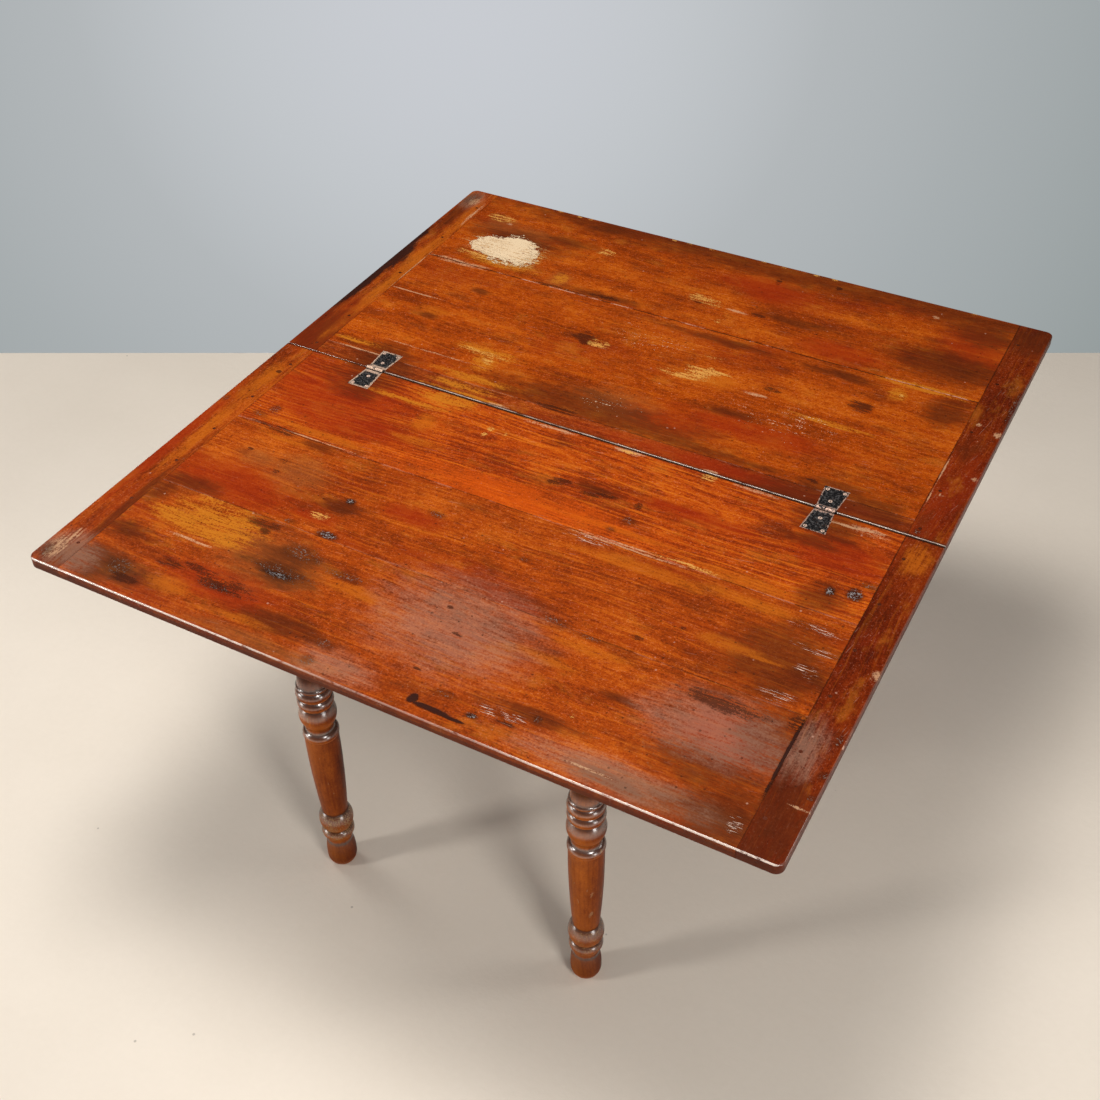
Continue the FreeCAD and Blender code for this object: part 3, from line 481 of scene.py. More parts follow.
class PlankFinish:
    """Old glossy varnish on a plank of the top, worn and marked as this table's is."""

    RAW = Tones(rgb(0.05, 0.022, 0.010), rgb(0.15, 0.075, 0.036), rgb(0.26, 0.15, 0.08))
    LOWER_EDGE = rgb(0.080, 0.016, 0.005)
    FLUSH = rgb(0.20, 0.018, 0.003)
    SMUDGE = rgb(0.085, 0.016, 0.004)
    GOLD = rgb(0.44, 0.13, 0.012)
    LIT = rgb(0.54, 0.140, 0.009)
    CRACK = rgb(0.55, 0.33, 0.24)
    # Rubbed wood, also laid as a painted highlight on the arrises.
    RUBBED_AND_HIGHLIGHT = rgb(0.74, 0.62, 0.54)
    SOOT = rgb(0.022, 0.007, 0.003)
    # How far marks, joints, seam and edges reach, fade in and fray.
    MARKED_ABOVE = (0.004, 0.008)
    FRAY = 0.003
    END_REACH = (0.0018, 0.0006)
    END_FRAY = 0.002
    END_FADE = 0.1
    JOINT_REACH = 0.0017
    JOINT_CORE = 0.0002
    JOINT_LINE = (0.0006, 0.0004)
    SEAM_REACH = 0.0046
    SEAM_CORE = 0.003
    SEAM_FACE = 0.001
    SEAM_LIP = (0.0004, 0.0010)
    SEAM_WORN = (-0.45, -0.39)
    NEAR_EDGE = (-0.6972, -0.6978)
    EDGE_DARKENING = (0.0080, 0.0125)
    EDGE_FRAY = 0.008
    ARRIS = 0.0026
    ARRIS_TOP = 0.0002
    DIM_HIGHLIGHT_STRETCH = (0.05, 0.28)
    HAIR_LEAN = 0.18
    SKIN = 0.0009
    RELIEF = 0.0011

    def __init__(
        self, plank: Plank, beneath: Beneath, joints: Mapping[float, float], ends: float
    ) -> None:
        """Prepare the finish of one plank.

        Args:
            plank: the plank.
            beneath: what its lower face is.
            joints: how far the finish has cracked open along each joint between boards that the plank
                shares, from 0 to 1, by the joint's y.
            ends: how far from the middle the joints with the cleats lie.
        """
        self.plank = plank
        self.raw = beneath.value
        self.joints = joints
        self.ends = ends
        self.low, self.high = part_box(plank.node)
        self.made, self.paint = new_paint(f"varnished_{plank.node}")
        self.figure = Figure(self.paint, plank.cut, plank.node)

    def wash(self, skin: Skin) -> None:
        """Vary the colour with flushes, smudges, bright lines, pores and fine hairs.

        Args:
            skin: the plank's surface.
        """
        figure = self.figure
        flush = self.paint.noise(figure.stretched(3.1, 8.5), 1.0, 3.0, 0.6)
        smudge = self.paint.noise(figure.stretched(9.0, 21.0), 1.0, 5.0, 0.66)
        along = (figure.length + figure.width * self.HAIR_LEAN) * 26.0
        across = (figure.width - figure.length * self.HAIR_LEAN) * 520.0
        hairs = self.paint.noise(self.paint.point(along, across, figure.seed + 9.0), 1.0, 2.0, 0.5)
        layers = (
            (self.FLUSH, flush, 0.50, 0.68, 0.5),
            (self.SMUDGE, smudge, 0.50, 0.72, 0.55),
            (self.GOLD, smudge, 0.46, 0.30, 0.35),
            (self.LIT, figure.line, 0.55, 0.70, 0.1 + 0.3 * self.plank.cut.lines),
            (self.CRACK, figure.fibre, 0.64, 0.76, 0.10),
            (self.SOOT, figure.streak, 0.40, 0.28, 0.10),
            (self.SOOT, figure.fleck, 0.43, 0.31, 0.34),
            (self.CRACK, figure.fleck, 0.60, 0.72, 0.20),
            (self.CRACK, hairs, 0.68, 0.76, 0.2),
        )
        for colour, noise, none, full, strength in layers:
            skin.lay(colour, noise.step(none, full) * strength)

    def nearest(self, shift: Wire, spots: Sequence[Spot]) -> Wire:
        """How far a point lies from the nearest of some marks, 1 being a mark's edge.

        Args:
            shift: by how much of its reach each mark is pushed about at this point.
            spots: the marks' middles and reaches.

        Returns:
            The distance in units of a mark's reach.
        """
        found = []
        for x, y, reach_x, reach_y in spots:
            scale = (1.0 / reach_x, 1.0 / reach_y, 0.0)
            scaled = self.paint.vector("MULTIPLY_ADD", self.figure.place, scale, shift)
            middle = (x / reach_x, y / reach_y, 0.0)
            found.append(self.paint.vector("DISTANCE", scaled, middle, output="Value"))
        return reduce(Wire.least, found)

    def mark(self, skin: Skin) -> None:
        """Lay the plank's marks over its surface, kind by kind.

        Args:
            skin: the plank's surface.
        """
        paint, figure = self.paint, self.figure
        x, y, z = figure.axes
        bend = paint.drift(figure.stretched(17.0, 38.0), 1.0, 5.0, 0.68)
        jags = paint.drift(figure.place, 95.0, 5.0, 0.74)
        crumbs = figure.fleck.swing(6.0)
        grainy = figure.streak.swing(5.0) + figure.fleck.swing(3.5)
        upper = z.step(*(self.low.z + height for height in self.MARKED_ABOVE))
        for kind in Mark:
            if kind not in self.plank.marks:
                continue
            look = kind.value
            shift = paint.vector("MULTIPLY", bend, (look.ragged, look.ragged, 0.0))
            if look.jagged:
                shift = paint.vector("MULTIPLY_ADD", jags, (look.jagged, look.jagged, 0.0), shift)
            far = self.nearest(shift, self.plank.marks[kind])
            if look.halo:
                skin.lay(self.SOOT, far.step(2.0, 0.6) * upper * look.halo)
            region = far.step(1.0 + look.soft, 1.0 - look.soft) * upper
            if kind is Mark.SCRATCH:
                dashes = paint.noise(paint.point(x * 38.0, y * 720.0, z), 1.0, 2.0)
                region = region * dashes.step(0.56, 0.64)
            broken = (crumbs if look.crazed else grainy) * look.broken
            level = region * (broken + (1.0 - look.gaps * look.broken))
            mask = level.step(0.5 - look.edge, 0.5 + look.edge) * look.strength
            skin.lay(look.colour, mask)
            if look.roughness:
                skin.rough += mask * look.roughness
            if look.dent:
                skin.height -= mask * look.dent

    def join(self, skin: Skin) -> None:
        """Draw the broken pale and dark lines where the plank meets its neighbours.

        Args:
            skin: the plank's surface.
        """
        mottle = self.figure.mottle
        x, y, _ = self.figure.axes
        breaks = self.paint.noise(self.figure.place, 21.0, 4.0, 0.65)
        end = abs(abs(x) - self.ends) + breaks.swing(self.END_FRAY)
        dirt = end.step(*self.END_REACH) * (0.15 + 0.4 * breaks.step(0.6, 0.45))
        skin.lay(self.SOOT, dirt * (0.45 + 0.55 * x.step(-self.END_FADE, self.END_FADE)))
        if min(abs(self.low.y), abs(self.high.y)) < self.SEAM_REACH:
            self.wear_seam(skin, breaks)
        for joint, opened in self.joints.items():
            wide = abs(y - joint) + breaks.swing(self.FRAY) + mottle.swing(self.FRAY)
            dirt = wide.step(self.JOINT_REACH * 1.4, self.JOINT_CORE) * breaks.step(0.58, 0.46)
            skin.lay(self.SOOT, dirt * (0.35 + 0.5 * opened))
            inset, core = self.JOINT_LINE
            line = (wide - inset).step(self.JOINT_REACH, core) * breaks.step(0.48, 0.58)
            skin.lay(self.CRACK, line * mottle.step(0.40, 0.52) * (0.06 + 0.7 * opened))

    def wear_seam(self, skin: Skin, breaks: Wire) -> None:
        """Rub the fold leaf's arris at the seam pale, as wear and a painted highlight, and blacken the
        fixed leaf's and the faces below with dirt and painted shade.

        Args:
            skin: the plank's surface.
            breaks: noise that breaks the lines up.
        """
        x, y, z = self.figure.axes
        away = abs(y)
        frayed = away + self.figure.mottle.swing(self.FRAY)
        used = x.step(*self.SEAM_WORN)
        # Beside the seam, dirt and painted shade of the gap darken both leaves; the fold leaf's worn arris
        # is also laid pale as a painted highlight.
        if self.low.y > 0.0:
            dirt = frayed.step(self.SEAM_REACH * 1.6, self.SEAM_CORE)
            skin.lay(self.SOOT, dirt * (0.25 + 0.45 * used))
            worn = frayed.step(self.SEAM_REACH * 0.7, self.SEAM_REACH * 0.45) * used
            skin.lay(self.RUBBED_AND_HIGHLIGHT, worn * breaks.step(0.28, 0.55) * 0.5)
        else:
            dirt = frayed.step(self.SEAM_REACH * 1.3, self.SEAM_CORE)
            skin.lay(self.SOOT, dirt * (0.4 + 0.55 * used))
        # Painted shade: the faces inside the seam's gap are laid dark.
        face = away.step(self.SEAM_FACE * 1.5, self.SEAM_FACE * 1.2)
        face = face * z.step(*(self.high.z - depth for depth in self.SEAM_LIP))
        skin.lay(self.SOOT, face * (0.6 + 0.4 * used))

    def pit(self, skin: Skin) -> None:
        """Scatter small black pits and a few white dots.

        Args:
            skin: the plank's surface.
        """
        far, chosen = self.paint.cells(self.figure.place, 85.0)
        dots = (far + self.figure.mottle.swing(0.3)).step(0.19, 0.08)
        pits = dots * chosen.step(0.74, 0.82)
        skin.lay(self.SOOT, pits * 0.55)
        skin.lay(self.CRACK, dots * chosen.step(0.03, 0.02) * 0.4)
        skin.height -= pits * 0.35

    def wear_edge(self, skin: Skin) -> Wire:
        """Darken the sides below the rounded arris, and lay a pale line on the arris that is both wear and
        a painted highlight.

        Args:
            skin: the plank's surface.

        Returns:
            How far a point lies on the arris.
        """
        mottle = self.figure.mottle
        x, y, z = self.figure.axes
        top = self.high.z
        below_top = z.step(top, top - self.ARRIS_TOP)
        skin.lay(self.LOWER_EDGE, z.step(top - self.ARRIS, top - 2 * self.ARRIS) * 0.3)
        # The side faces grow darker towards the bottom.
        lower = (z + mottle.swing(self.EDGE_FRAY)).step(*(top - depth for depth in self.EDGE_DARKENING))
        skin.lay(self.LOWER_EDGE, lower * 0.75)
        arris = z.step(top - self.ARRIS, top - 0.7 * self.ARRIS) * below_top
        nicks = z.step(top - 3 * self.ARRIS, top - 2 * self.ARRIS) * mottle.step(0.64, 0.69)
        skin.lay(self.CRACK, nicks * below_top * 0.75)
        # Painted highlight: the arris is laid pale, strongest along the near edge and dimmer over a middle
        # stretch.
        middle, reach = self.DIM_HIGHLIGHT_STRETCH
        shiny = 0.25 + 0.75 * abs(x - middle).step(0.4 * reach, reach)
        near = y.step(*self.NEAR_EDGE)
        rubbed = arris * (0.06 + near * shiny * 0.8) * mottle.step(0.32, 0.5)
        skin.lay(self.RUBBED_AND_HIGHLIGHT, rubbed)
        return arris

    def material(self) -> bpy.types.Material:
        """Make the plank's material.

        Returns:
            The material.
        """
        paint, figure = self.paint, self.figure
        swell = paint.noise(figure.place, 9.0, 2.0)
        skin = Skin(
            paint,
            paint.ramp(figure.tone, self.plank.tones.stops()),
            0.32 + figure.cloud.swing(0.20) + figure.mottle.swing(0.30),
            0.5 + figure.streak.swing(0.12) + figure.mottle.swing(0.12) + swell.swing(0.9),
        )
        self.wash(skin)
        below = replace(skin)
        if self.raw:
            below.colour = paint.ramp(figure.tone, self.RAW.stops())
        self.join(below)
        self.mark(skin)
        self.join(skin)
        self.pit(skin)
        arris = self.wear_edge(skin)
        under = figure.axes[2].step(self.low.z + 2 * self.SKIN, self.low.z + self.SKIN)
        skin.lay(below.colour, under)
        skin.rough += under * (0.4 * self.raw)
        skin.finish(
            self.RELIEF,
            {
                "Coat Weight": (0.07 + arris * 0.5) * (1.0 - under * self.raw),
                "Coat Roughness": 0.1,
                "Coat IOR": 1.8,
                "Specular IOR Level": 0.03,
            },
        )
        return self.made


@dataclass
class Leaf:
    """One leaf of the top: three boards held by a cleat at each end.

    Attributes:
        name: the leaf's name, which starts its nodes' names.
        beneath: what the faces that lie below when the table is open look like.
        opened: how far the finish has cracked open along each joint between boards, by rising y.
        planks: its boards and cleats.
        slack: how far from a board's edge the joint that it shares may lie.
    """

    name: str
    beneath: Beneath
    opened: tuple[float, ...]
    planks: tuple[Plank, ...]
    slack: float = 0.001

    def joints(self) -> dict[float, float]:
        """How far each joint between boards has opened.

        Returns:
            The opening by the joint's y.
        """
        boxes = [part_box(plank.node) for plank in self.planks if plank.cut.axis is Axis.X]
        edges = sorted(corner.y for box in boxes for corner in box)
        middles = [(near + far) / 2 for near, far in zip(edges[1:-1:2], edges[2::2])]
        return dict(zip(middles, self.opened))

    def dress(self) -> None:
        """Varnish every plank of the leaf."""
        cleat_low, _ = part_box(f"{self.name}_cleat_right")
        joints = self.joints()
        for plank in self.planks:
            low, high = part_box(plank.node)
            shared = {}
            if plank.cut.axis is Axis.X:
                near, far = low.y - self.slack, high.y + self.slack
                shared = {y: opened for y, opened in joints.items() if near < y < far}
            dress(plank.node, PlankFinish(plank, self.beneath, shared, cleat_low.x).material())


@dataclass(frozen=True)
class TurnedFinish:
    """Glossy stain on a turned leg, dark in the grooves and rubbed pale on the collar.

    Attributes:
        flaking: how much of the collar's finish has gone, from 0 to 1.
        worn_and_lit_side: the sign of y on the leg's outer side, laid lighter: the stain is rubbed thin
            there, and that side is also given painted light as though it faced the lamps.
        grooves: heights of the grooves, darkened by dirt and by painted shade.
        groove_reach: how far the darkening spreads from a groove.
        collar: height range of the collar, where the finish flakes.
        shaft: height range of the plain shaft, which has lost most of its gloss.
    """

    flaking: float
    worn_and_lit_side: float
    grooves: tuple[float, ...] = (
        0.070, 0.086, 0.1095, 0.156, 0.386, 0.400, 0.445, 0.467, 0.490, 0.499, 0.548, 0.578, 0.594,
    )
    groove_reach: float = 0.0065
    collar: Span = (0.086, 0.157)
    shaft: Span = (0.150, 0.360)

    TONES = Tones(rgb(0.055, 0.009, 0.003), rgb(0.20, 0.036, 0.004), rgb(0.44, 0.11, 0.010))
    # Dirt colour, also laid as painted shade in the grooves and under the top.
    DIRT = rgb(0.014, 0.005, 0.003)
    DUST_AND_SHEEN = rgb(0.10, 0.050, 0.036)
    FLAKED = rgb(0.36, 0.21, 0.095)
    # Heights between which the leg's parts come in, and how far they fade.
    GROOVE_CORE = 0.0002
    COLLAR_FADE = 0.006
    FOOT = (0.072, 0.062)
    SOLE = (0.008, 0.02)
    SHAFT_FADES = (0.02, 0.03)
    SHADED = (0.497, 0.527)
    RADIUS = 0.033
    RELIEF = 0.0008

    def material(self, node: str, seed: float) -> bpy.types.Material:
        """Make one leg's material.

        Args:
            node: the leg.
            seed: sets this leg's figure apart from the others'.

        Returns:
            The material.
        """
        low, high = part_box(node)
        material, paint = new_paint(f"stained_{node}")
        figure = Figure(paint, Cut(Axis.Z, 0.031, 0.022, 0.05, seed, 0.25, 0.4), node)
        x, y, z = figure.axes
        # Painted light and wear: the outer side is made lighter and the inner side darker, shading the
        # round leg.
        face = (y - (low.y + high.y) / 2) * (self.worn_and_lit_side / self.RADIUS)
        skin = Skin(
            paint,
            paint.ramp(figure.tone + face * 0.28 - 0.06, self.TONES.stops()),
            0.34 + figure.cloud.swing(0.2),
            0.5 + figure.line.swing(0.25) + figure.fibre.swing(0.12),
        )
        patches = paint.noise(figure.place, 60.0, 4.0, 0.65)
        far = reduce(Wire.least, [abs(z - groove) for groove in self.grooves])
        facing = paint.axes(paint.place("Normal"))[2]
        dirt = (far + patches.swing(self.groove_reach)).step(self.groove_reach, self.GROOVE_CORE)
        # Dirt and painted shade darken the grooves.
        skin.lay(self.DIRT, dirt * 0.7)
        # Painted light: faces turned down are laid paler, as though lit from the floor below.
        skin.lay(self.TONES.pale, facing.step(0.0, -0.35) * 0.55)
        # Dust and a painted sheen grey the faces turned up.
        skin.lay(self.DUST_AND_SHEEN, facing.step(0.10, 0.45) * 0.55)
        bottom, top = self.collar
        band = z.step(bottom, bottom + self.COLLAR_FADE) * z.step(top, top - self.COLLAR_FADE)
        bare = 0.62 - 0.12 * self.flaking
        flakes = band * (figure.fleck + patches.swing(0.4)).step(bare, bare + 0.06)
        skin.lay(self.FLAKED, flakes * (0.45 + 0.4 * self.flaking))
        nicks = paint.noise(paint.point(x * 90.0, y * 90.0, z * 30.0), 1.0, 3.0).step(0.68, 0.73)
        skin.lay(self.FLAKED, nicks * 0.6)
        # Painted shadow: the leg's upper end, in the top's shade, is darkened with the dirt colour.
        skin.lay(self.DIRT, z.step(*self.SHADED) * 0.7)
        foot = z.step(*self.FOOT)
        skin.lay(self.TONES.dark, foot * z.step(*self.SOLE) * 0.3)
        lower, upper = self.shaft
        rise, fall = self.SHAFT_FADES
        shaft = z.step(lower, lower + rise) * z.step(upper, upper - fall)
        glossy = facing.step(-0.02, 0.22) * (1.0 - shaft) * (1.0 - foot * 0.8)
        skin.rough = skin.rough + foot * 0.12 + flakes * 0.3 + dirt * 0.2
        skin.height = skin.height - flakes * 0.4 - nicks * 0.3
        skin.finish(
            self.RELIEF,
            {
                "Coat Weight": (0.04 + glossy * 0.96) * (1.0 - flakes * 0.6),
                "Coat Roughness": 0.22,
                "Coat IOR": 2.0,
                "Specular IOR Level": 0.04,
            },
        )
        return material


@dataclass(frozen=True)
class StainedFinish:
    """Stained or raw wood of the frame, with dirt in its clouds and a dull or a polished face."""

    tones: Tones
    roughness: float
    coat: float

    DIRT = rgb(0.03, 0.012, 0.006)
    RELIEF = 0.0008

    def dress(self, node: str, cut: Cut) -> None:
        """Make one piece's material and give it to the piece.

        Args:
            node: the piece.
            cut: how it was sawn.
        """
        material, paint = new_paint(f"stained_{node}")
        figure = Figure(paint, cut, node)
        dirt = figure.cloud.step(0.5, 0.3)
        skin = Skin(
            paint,
            paint.ramp(figure.tone, self.tones.stops()),
            self.roughness + figure.fibre.swing(0.2) + dirt * 0.1,
            0.5 + figure.line.swing(0.3) + figure.fibre.swing(0.3) + figure.streak.swing(0.3),
        )
        skin.lay(self.DIRT, dirt * 0.5)
        coat = {"Coat Weight": self.coat, "Coat Roughness": 0.2, "Specular IOR Level": 0.35}
        skin.finish(self.RELIEF, coat)
        dress(node, material)


@dataclass
class Underframe:
    """Four turned legs joined by aprons with pegged tenons, and the well inside them."""

    apron_tones: Tones = Tones(rgb(0.045, 0.009, 0.004), rgb(0.17, 0.036, 0.008), rgb(0.30, 0.08, 0.016))
    raw_tones: Tones = Tones(rgb(0.06, 0.026, 0.012), rgb(0.17, 0.088, 0.044), rgb(0.30, 0.18, 0.10))
    well_boards: int = 5

    def dress_legs(self) -> None:
        """Stain the legs, of which the left front one has lost most of its collar's finish."""
        flaking = {"front_left": 1.0, "front_right": 0.55, "back_left": 0.7, "back_right": 0.4}
        for seed, (corner, share) in enumerate(flaking.items()):
            finish = TurnedFinish(share, -1.0 if corner.startswith("front") else 1.0)
            dress(f"leg_{corner}", finish.material(f"leg_{corner}", 11.0 + 5.0 * seed))

    def dress_aprons(self) -> None:
        """Stain the aprons along their lengths, and the pegs across them."""
        finish = StainedFinish(self.apron_tones, roughness=0.42, coat=0.35)
        sides = {"front": Axis.X, "back": Axis.X, "left": Axis.Y, "right": Axis.Y}
        for seed, (side, axis) in enumerate(sides.items()):
            finish.dress(f"apron_{side}", Cut(axis, 0.05, 0.06, 0.03, 31.0 + 4.0 * seed))
        finish.dress("joint_pegs", Cut(Axis.X, 0.02, 0.02, 0.0, 52.0))

    def dress_well(self) -> None:
        """Leave the rail, the ledgers and the well's floor as raw old boards."""
        finish = StainedFinish(self.raw_tones, roughness=0.72, coat=0.0)
        finish.dress("pivot_rail", Cut(Axis.X, 0.03, 0.05, 0.02, 61.0))
        for seed, side in enumerate(("left", "right")):
            finish.dress(f"ledger_{side}", Cut(Axis.Y, 0.02, 0.03, 0.0, 66.0 + seed))
        for number in range(1, self.well_boards + 1):
            finish.dress(f"well_floor_{number}", Cut(Axis.X, 0.04, 0.07, 0.03, 70.0 + 3.0 * number))

    def dress(self) -> None:
        """Dress every wooden piece of the frame."""
        self.dress_legs()
        self.dress_aprons()
        self.dress_well()


@dataclass(frozen=True)
class IronFinish:
    """Old forged iron: dark, pitted, freckled with rust."""

    dark: Colour
    grey: Colour
    rust: Colour
    rusty: float

    RELIEF = 0.0004

    def skin(self, paint: Paint, place: Wire) -> Skin:
        """Work out the iron's surface.

        Args:
            paint: the tree to work in.
            place: the point on the surface.

        Returns:
            The surface.
        """
        mottle = paint.noise(place, 240.0, 5.0, 0.7)
        pits = paint.noise(place, 900.0, 2.0, 0.6)
        spread = paint.noise(place, 130.0, 4.0, 0.65)
        rust = spread.step(0.62 - 0.2 * self.rusty, 0.74 - 0.2 * self.rusty)
        skin = Skin(
            paint,
            paint.blend(self.dark, self.grey, mottle.step(0.48, 0.66)),
            0.42 + mottle.swing(0.5) + rust * 0.25,
            0.5 + mottle.swing(0.8) - pits.step(0.58, 0.7) * 0.4,
        )
        skin.lay(self.rust, rust * 0.75)
        return skin

    def material(self, name: str) -> bpy.types.Material:
        """Make a plain iron material.

        Args:
            name: the material's name.

        Returns:
            The material.
        """
        material, paint = new_paint(name)
        self.skin(paint, paint.place()).finish(self.RELIEF, {"Metallic": 0.7})
        return material


@dataclass
class Hinge:
    """A butterfly hinge let into both leaves: two waisted plates, knuckles on a pin, and screws.

    Attributes:
        side: left or right.
        knuckle: distance from the pin within which the iron is rubbed bright.
        rim: width of the bright edge.
        whole: how much of the rubbed iron is still unbroken, from 0 to 1.
        bright: the rubbed iron's colour.
        neck: half the plates' width beside the knuckles.
        tail: half the plates' width at their far ends.
        waist: distance from the pin at which the plates start to widen.
    """

    side: str
    knuckle: float
    rim: float
    whole: float
    bright: Colour
    neck: float = 0.0175
    tail: float = 0.022
    waist: float = 0.0051

    IRON = IronFinish(rgb(0.010, 0.009, 0.010), rgb(0.11, 0.105, 0.105), rgb(0.07, 0.028, 0.014), 0.2)
    BARREL = (0.0047, 0.004)
    PART_LINE = 0.0009
    FRAY = 0.006
    RELIEF = 0.0005

    def plate_material(self) -> bpy.types.Material:
        """Make the plates' material: black pitted iron with a rubbed rim and rubbed knuckles.

        Returns:
            The material.
        """
        low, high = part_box(f"hinge_fold_plate_{self.side}")
        middle, reach = (low.x + high.x) / 2, high.y
        material, paint = new_paint(f"hinge_iron_{self.side}")
        place = paint.place()
        x, y, _ = paint.axes(place)
        skin = self.IRON.skin(paint, place)
        out = abs(y)
        off = abs(x - middle)
        slope = (self.tail - self.neck) / (reach - self.waist)
        half = self.neck + (out - self.waist) * slope
        inset = (half - off).least(reach - out)
        fray = paint.noise(place, 230.0, 4.0, 0.68).swing(self.FRAY)
        rim = (inset + fray).step(self.rim, self.rim * 0.5)
        rubbed = (out + fray).step(self.knuckle, self.knuckle * 0.75)
        gone = 0.3 * self.whole
        kept = paint.noise(place, 150.0, 3.0, 0.6).step(0.62 - gone, 0.68 - gone)
        bright = rim.most(rubbed) * kept
        skin.lay(self.bright, bright * 0.9)
        lines = off.step(self.PART_LINE, self.PART_LINE * 0.5) * out.step(*self.BARREL)
        ends = abs(out - self.BARREL[0]).step(self.PART_LINE, self.PART_LINE * 0.4)
        lines = lines.most(ends)
        skin.lay(self.IRON.dark, lines * 0.85)
        skin.rough += bright * 0.05
        skin.finish(self.RELIEF, {"Metallic": 0.5})
        return material

    def dress(self) -> None:
        """Dress both plates and the pin."""
        material = self.plate_material()
        dress(f"hinge_fixed_plate_{self.side}", material)
        dress(f"hinge_fold_plate_{self.side}", material)
        dress(f"hinge_pin_{self.side}", self.IRON.material(f"pin_iron_{self.side}"))


@dataclass
class Fastenings:
    """The hinge screws, the nails, and the pivot's iron under the fixed leaf."""

    screw_ring: Span = (0.0014, 0.0034)
    screw_spacing: float = 0.009
    screws: tuple[str, ...] = ("hinge_fixed_screws", "hinge_fold_screws", "pivot_plate_screws")
    nails: tuple[str, ...] = ("fixed_cleat_nails", "fold_cleat_nails", "ledger_nails")
    pivot: tuple[str, ...] = ("pivot_plate", "pivot_bolt", "pivot_washer", "pivot_nut")

    NAIL_IRON = IronFinish(rgb(0.10, 0.018, 0.006), rgb(0.17, 0.036, 0.010), rgb(0.13, 0.025, 0.006), 0.5)
    SCREW_IRON = IronFinish(rgb(0.04, 0.018, 0.012), rgb(0.12, 0.06, 0.04), rgb(0.10, 0.035, 0.014), 0.7)
    PIVOT_IRON = IronFinish(rgb(0.03, 0.024, 0.021), rgb(0.13, 0.11, 0.10), rgb(0.12, 0.045, 0.018), 0.8)
    BRIGHT = rgb(0.84, 0.62, 0.50)
    FRAY = 0.0016
    RELIEF = 0.0003

    def heads(self, node: str) -> list[Vector]:
        """Find the middle of each screw in a group, seen from above.

        Args:
            node: the group.

        Returns:
            One point for each screw, at no height.
        """
        groups: list[list[Vector]] = []
        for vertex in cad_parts[node].data.vertices:
            flat = Vector((vertex.co.x, vertex.co.y, 0.0))
            near = [group for group in groups if (group[0] - flat).length < self.screw_spacing]
            if near:
                near[0].append(flat)
            else:
                groups.append([flat])
        return [sum(group, Vector()) / len(group) for group in groups]

    def screw_material(self, node: str) -> bpy.types.Material:
        """Make the screws' material: a bright worn ring round a dark middle.

        Args:
            node: the group of screws.

        Returns:
            The material.
        """
        material, paint = new_paint(f"iron_{node}")
        place = paint.place()
        skin = self.SCREW_IRON.skin(paint, place)
        found = []
        for head in self.heads(node):
            away = paint.vector("SUBTRACT", place, tuple(head))
            flat = paint.vector("MULTIPLY", away, (1.0, 1.0, 0.0))
            found.append(paint.vector("LENGTH", flat, output="Value"))
        inner, outer = self.screw_ring
        worn = reduce(Wire.least, found) + paint.noise(place, 500.0, 2.0).swing(self.FRAY)
        ring = worn.step(inner * 0.7, inner) * worn.step(outer * 1.1, outer * 0.9)
        skin.lay(self.BRIGHT, ring * 0.92)
        skin.finish(self.RELIEF, {"Metallic": 0.5})
        return material

    def dress(self) -> None:
        """Dress every fastening."""
        for node in self.screws:
            dress(node, self.screw_material(node))
        for iron, nodes in ((self.NAIL_IRON, self.nails), (self.PIVOT_IRON, self.pivot)):
            for node in nodes:
                dress(node, iron.material(f"iron_{node}"))


@dataclass(frozen=True)
class Softbox:
    """A soft studio lamp, which lights the table or only glints on its gloss.

    Attributes:
        name: the lamp's name.
        place: where it hangs.
        aim: what it points at.
        sides: its width and height.
        power: its power in watts.
        glint: whether it shows only as a reflection.
        tint: its colour.
    """

    name: str
    place: Point
    aim: Point
    sides: Span
    power: float
    glint: bool = False
    tint: Point = (1.0, 0.965, 0.925)

    def hang(self) -> None:
        """Make the lamp and point it."""
        lamp = bpy.data.lights.new(self.name, "AREA")
        lamp.shape = "RECTANGLE"
        lamp.size, lamp.size_y = self.sides
        lamp.energy = self.power
        lamp.color = self.tint
        hung = bpy.data.objects.new(self.name, lamp)
        hung.location = self.place
        hung.rotation_mode = "QUATERNION"
        hung.rotation_quaternion = (Vector(self.aim) - Vector(self.place)).to_track_quat("-Z", "Y")
        hung.visible_camera = False
        hung.visible_diffuse = not self.glint
        bpy.context.scene.collection.objects.link(hung)
        LOG.info("%s: hung", self.name)


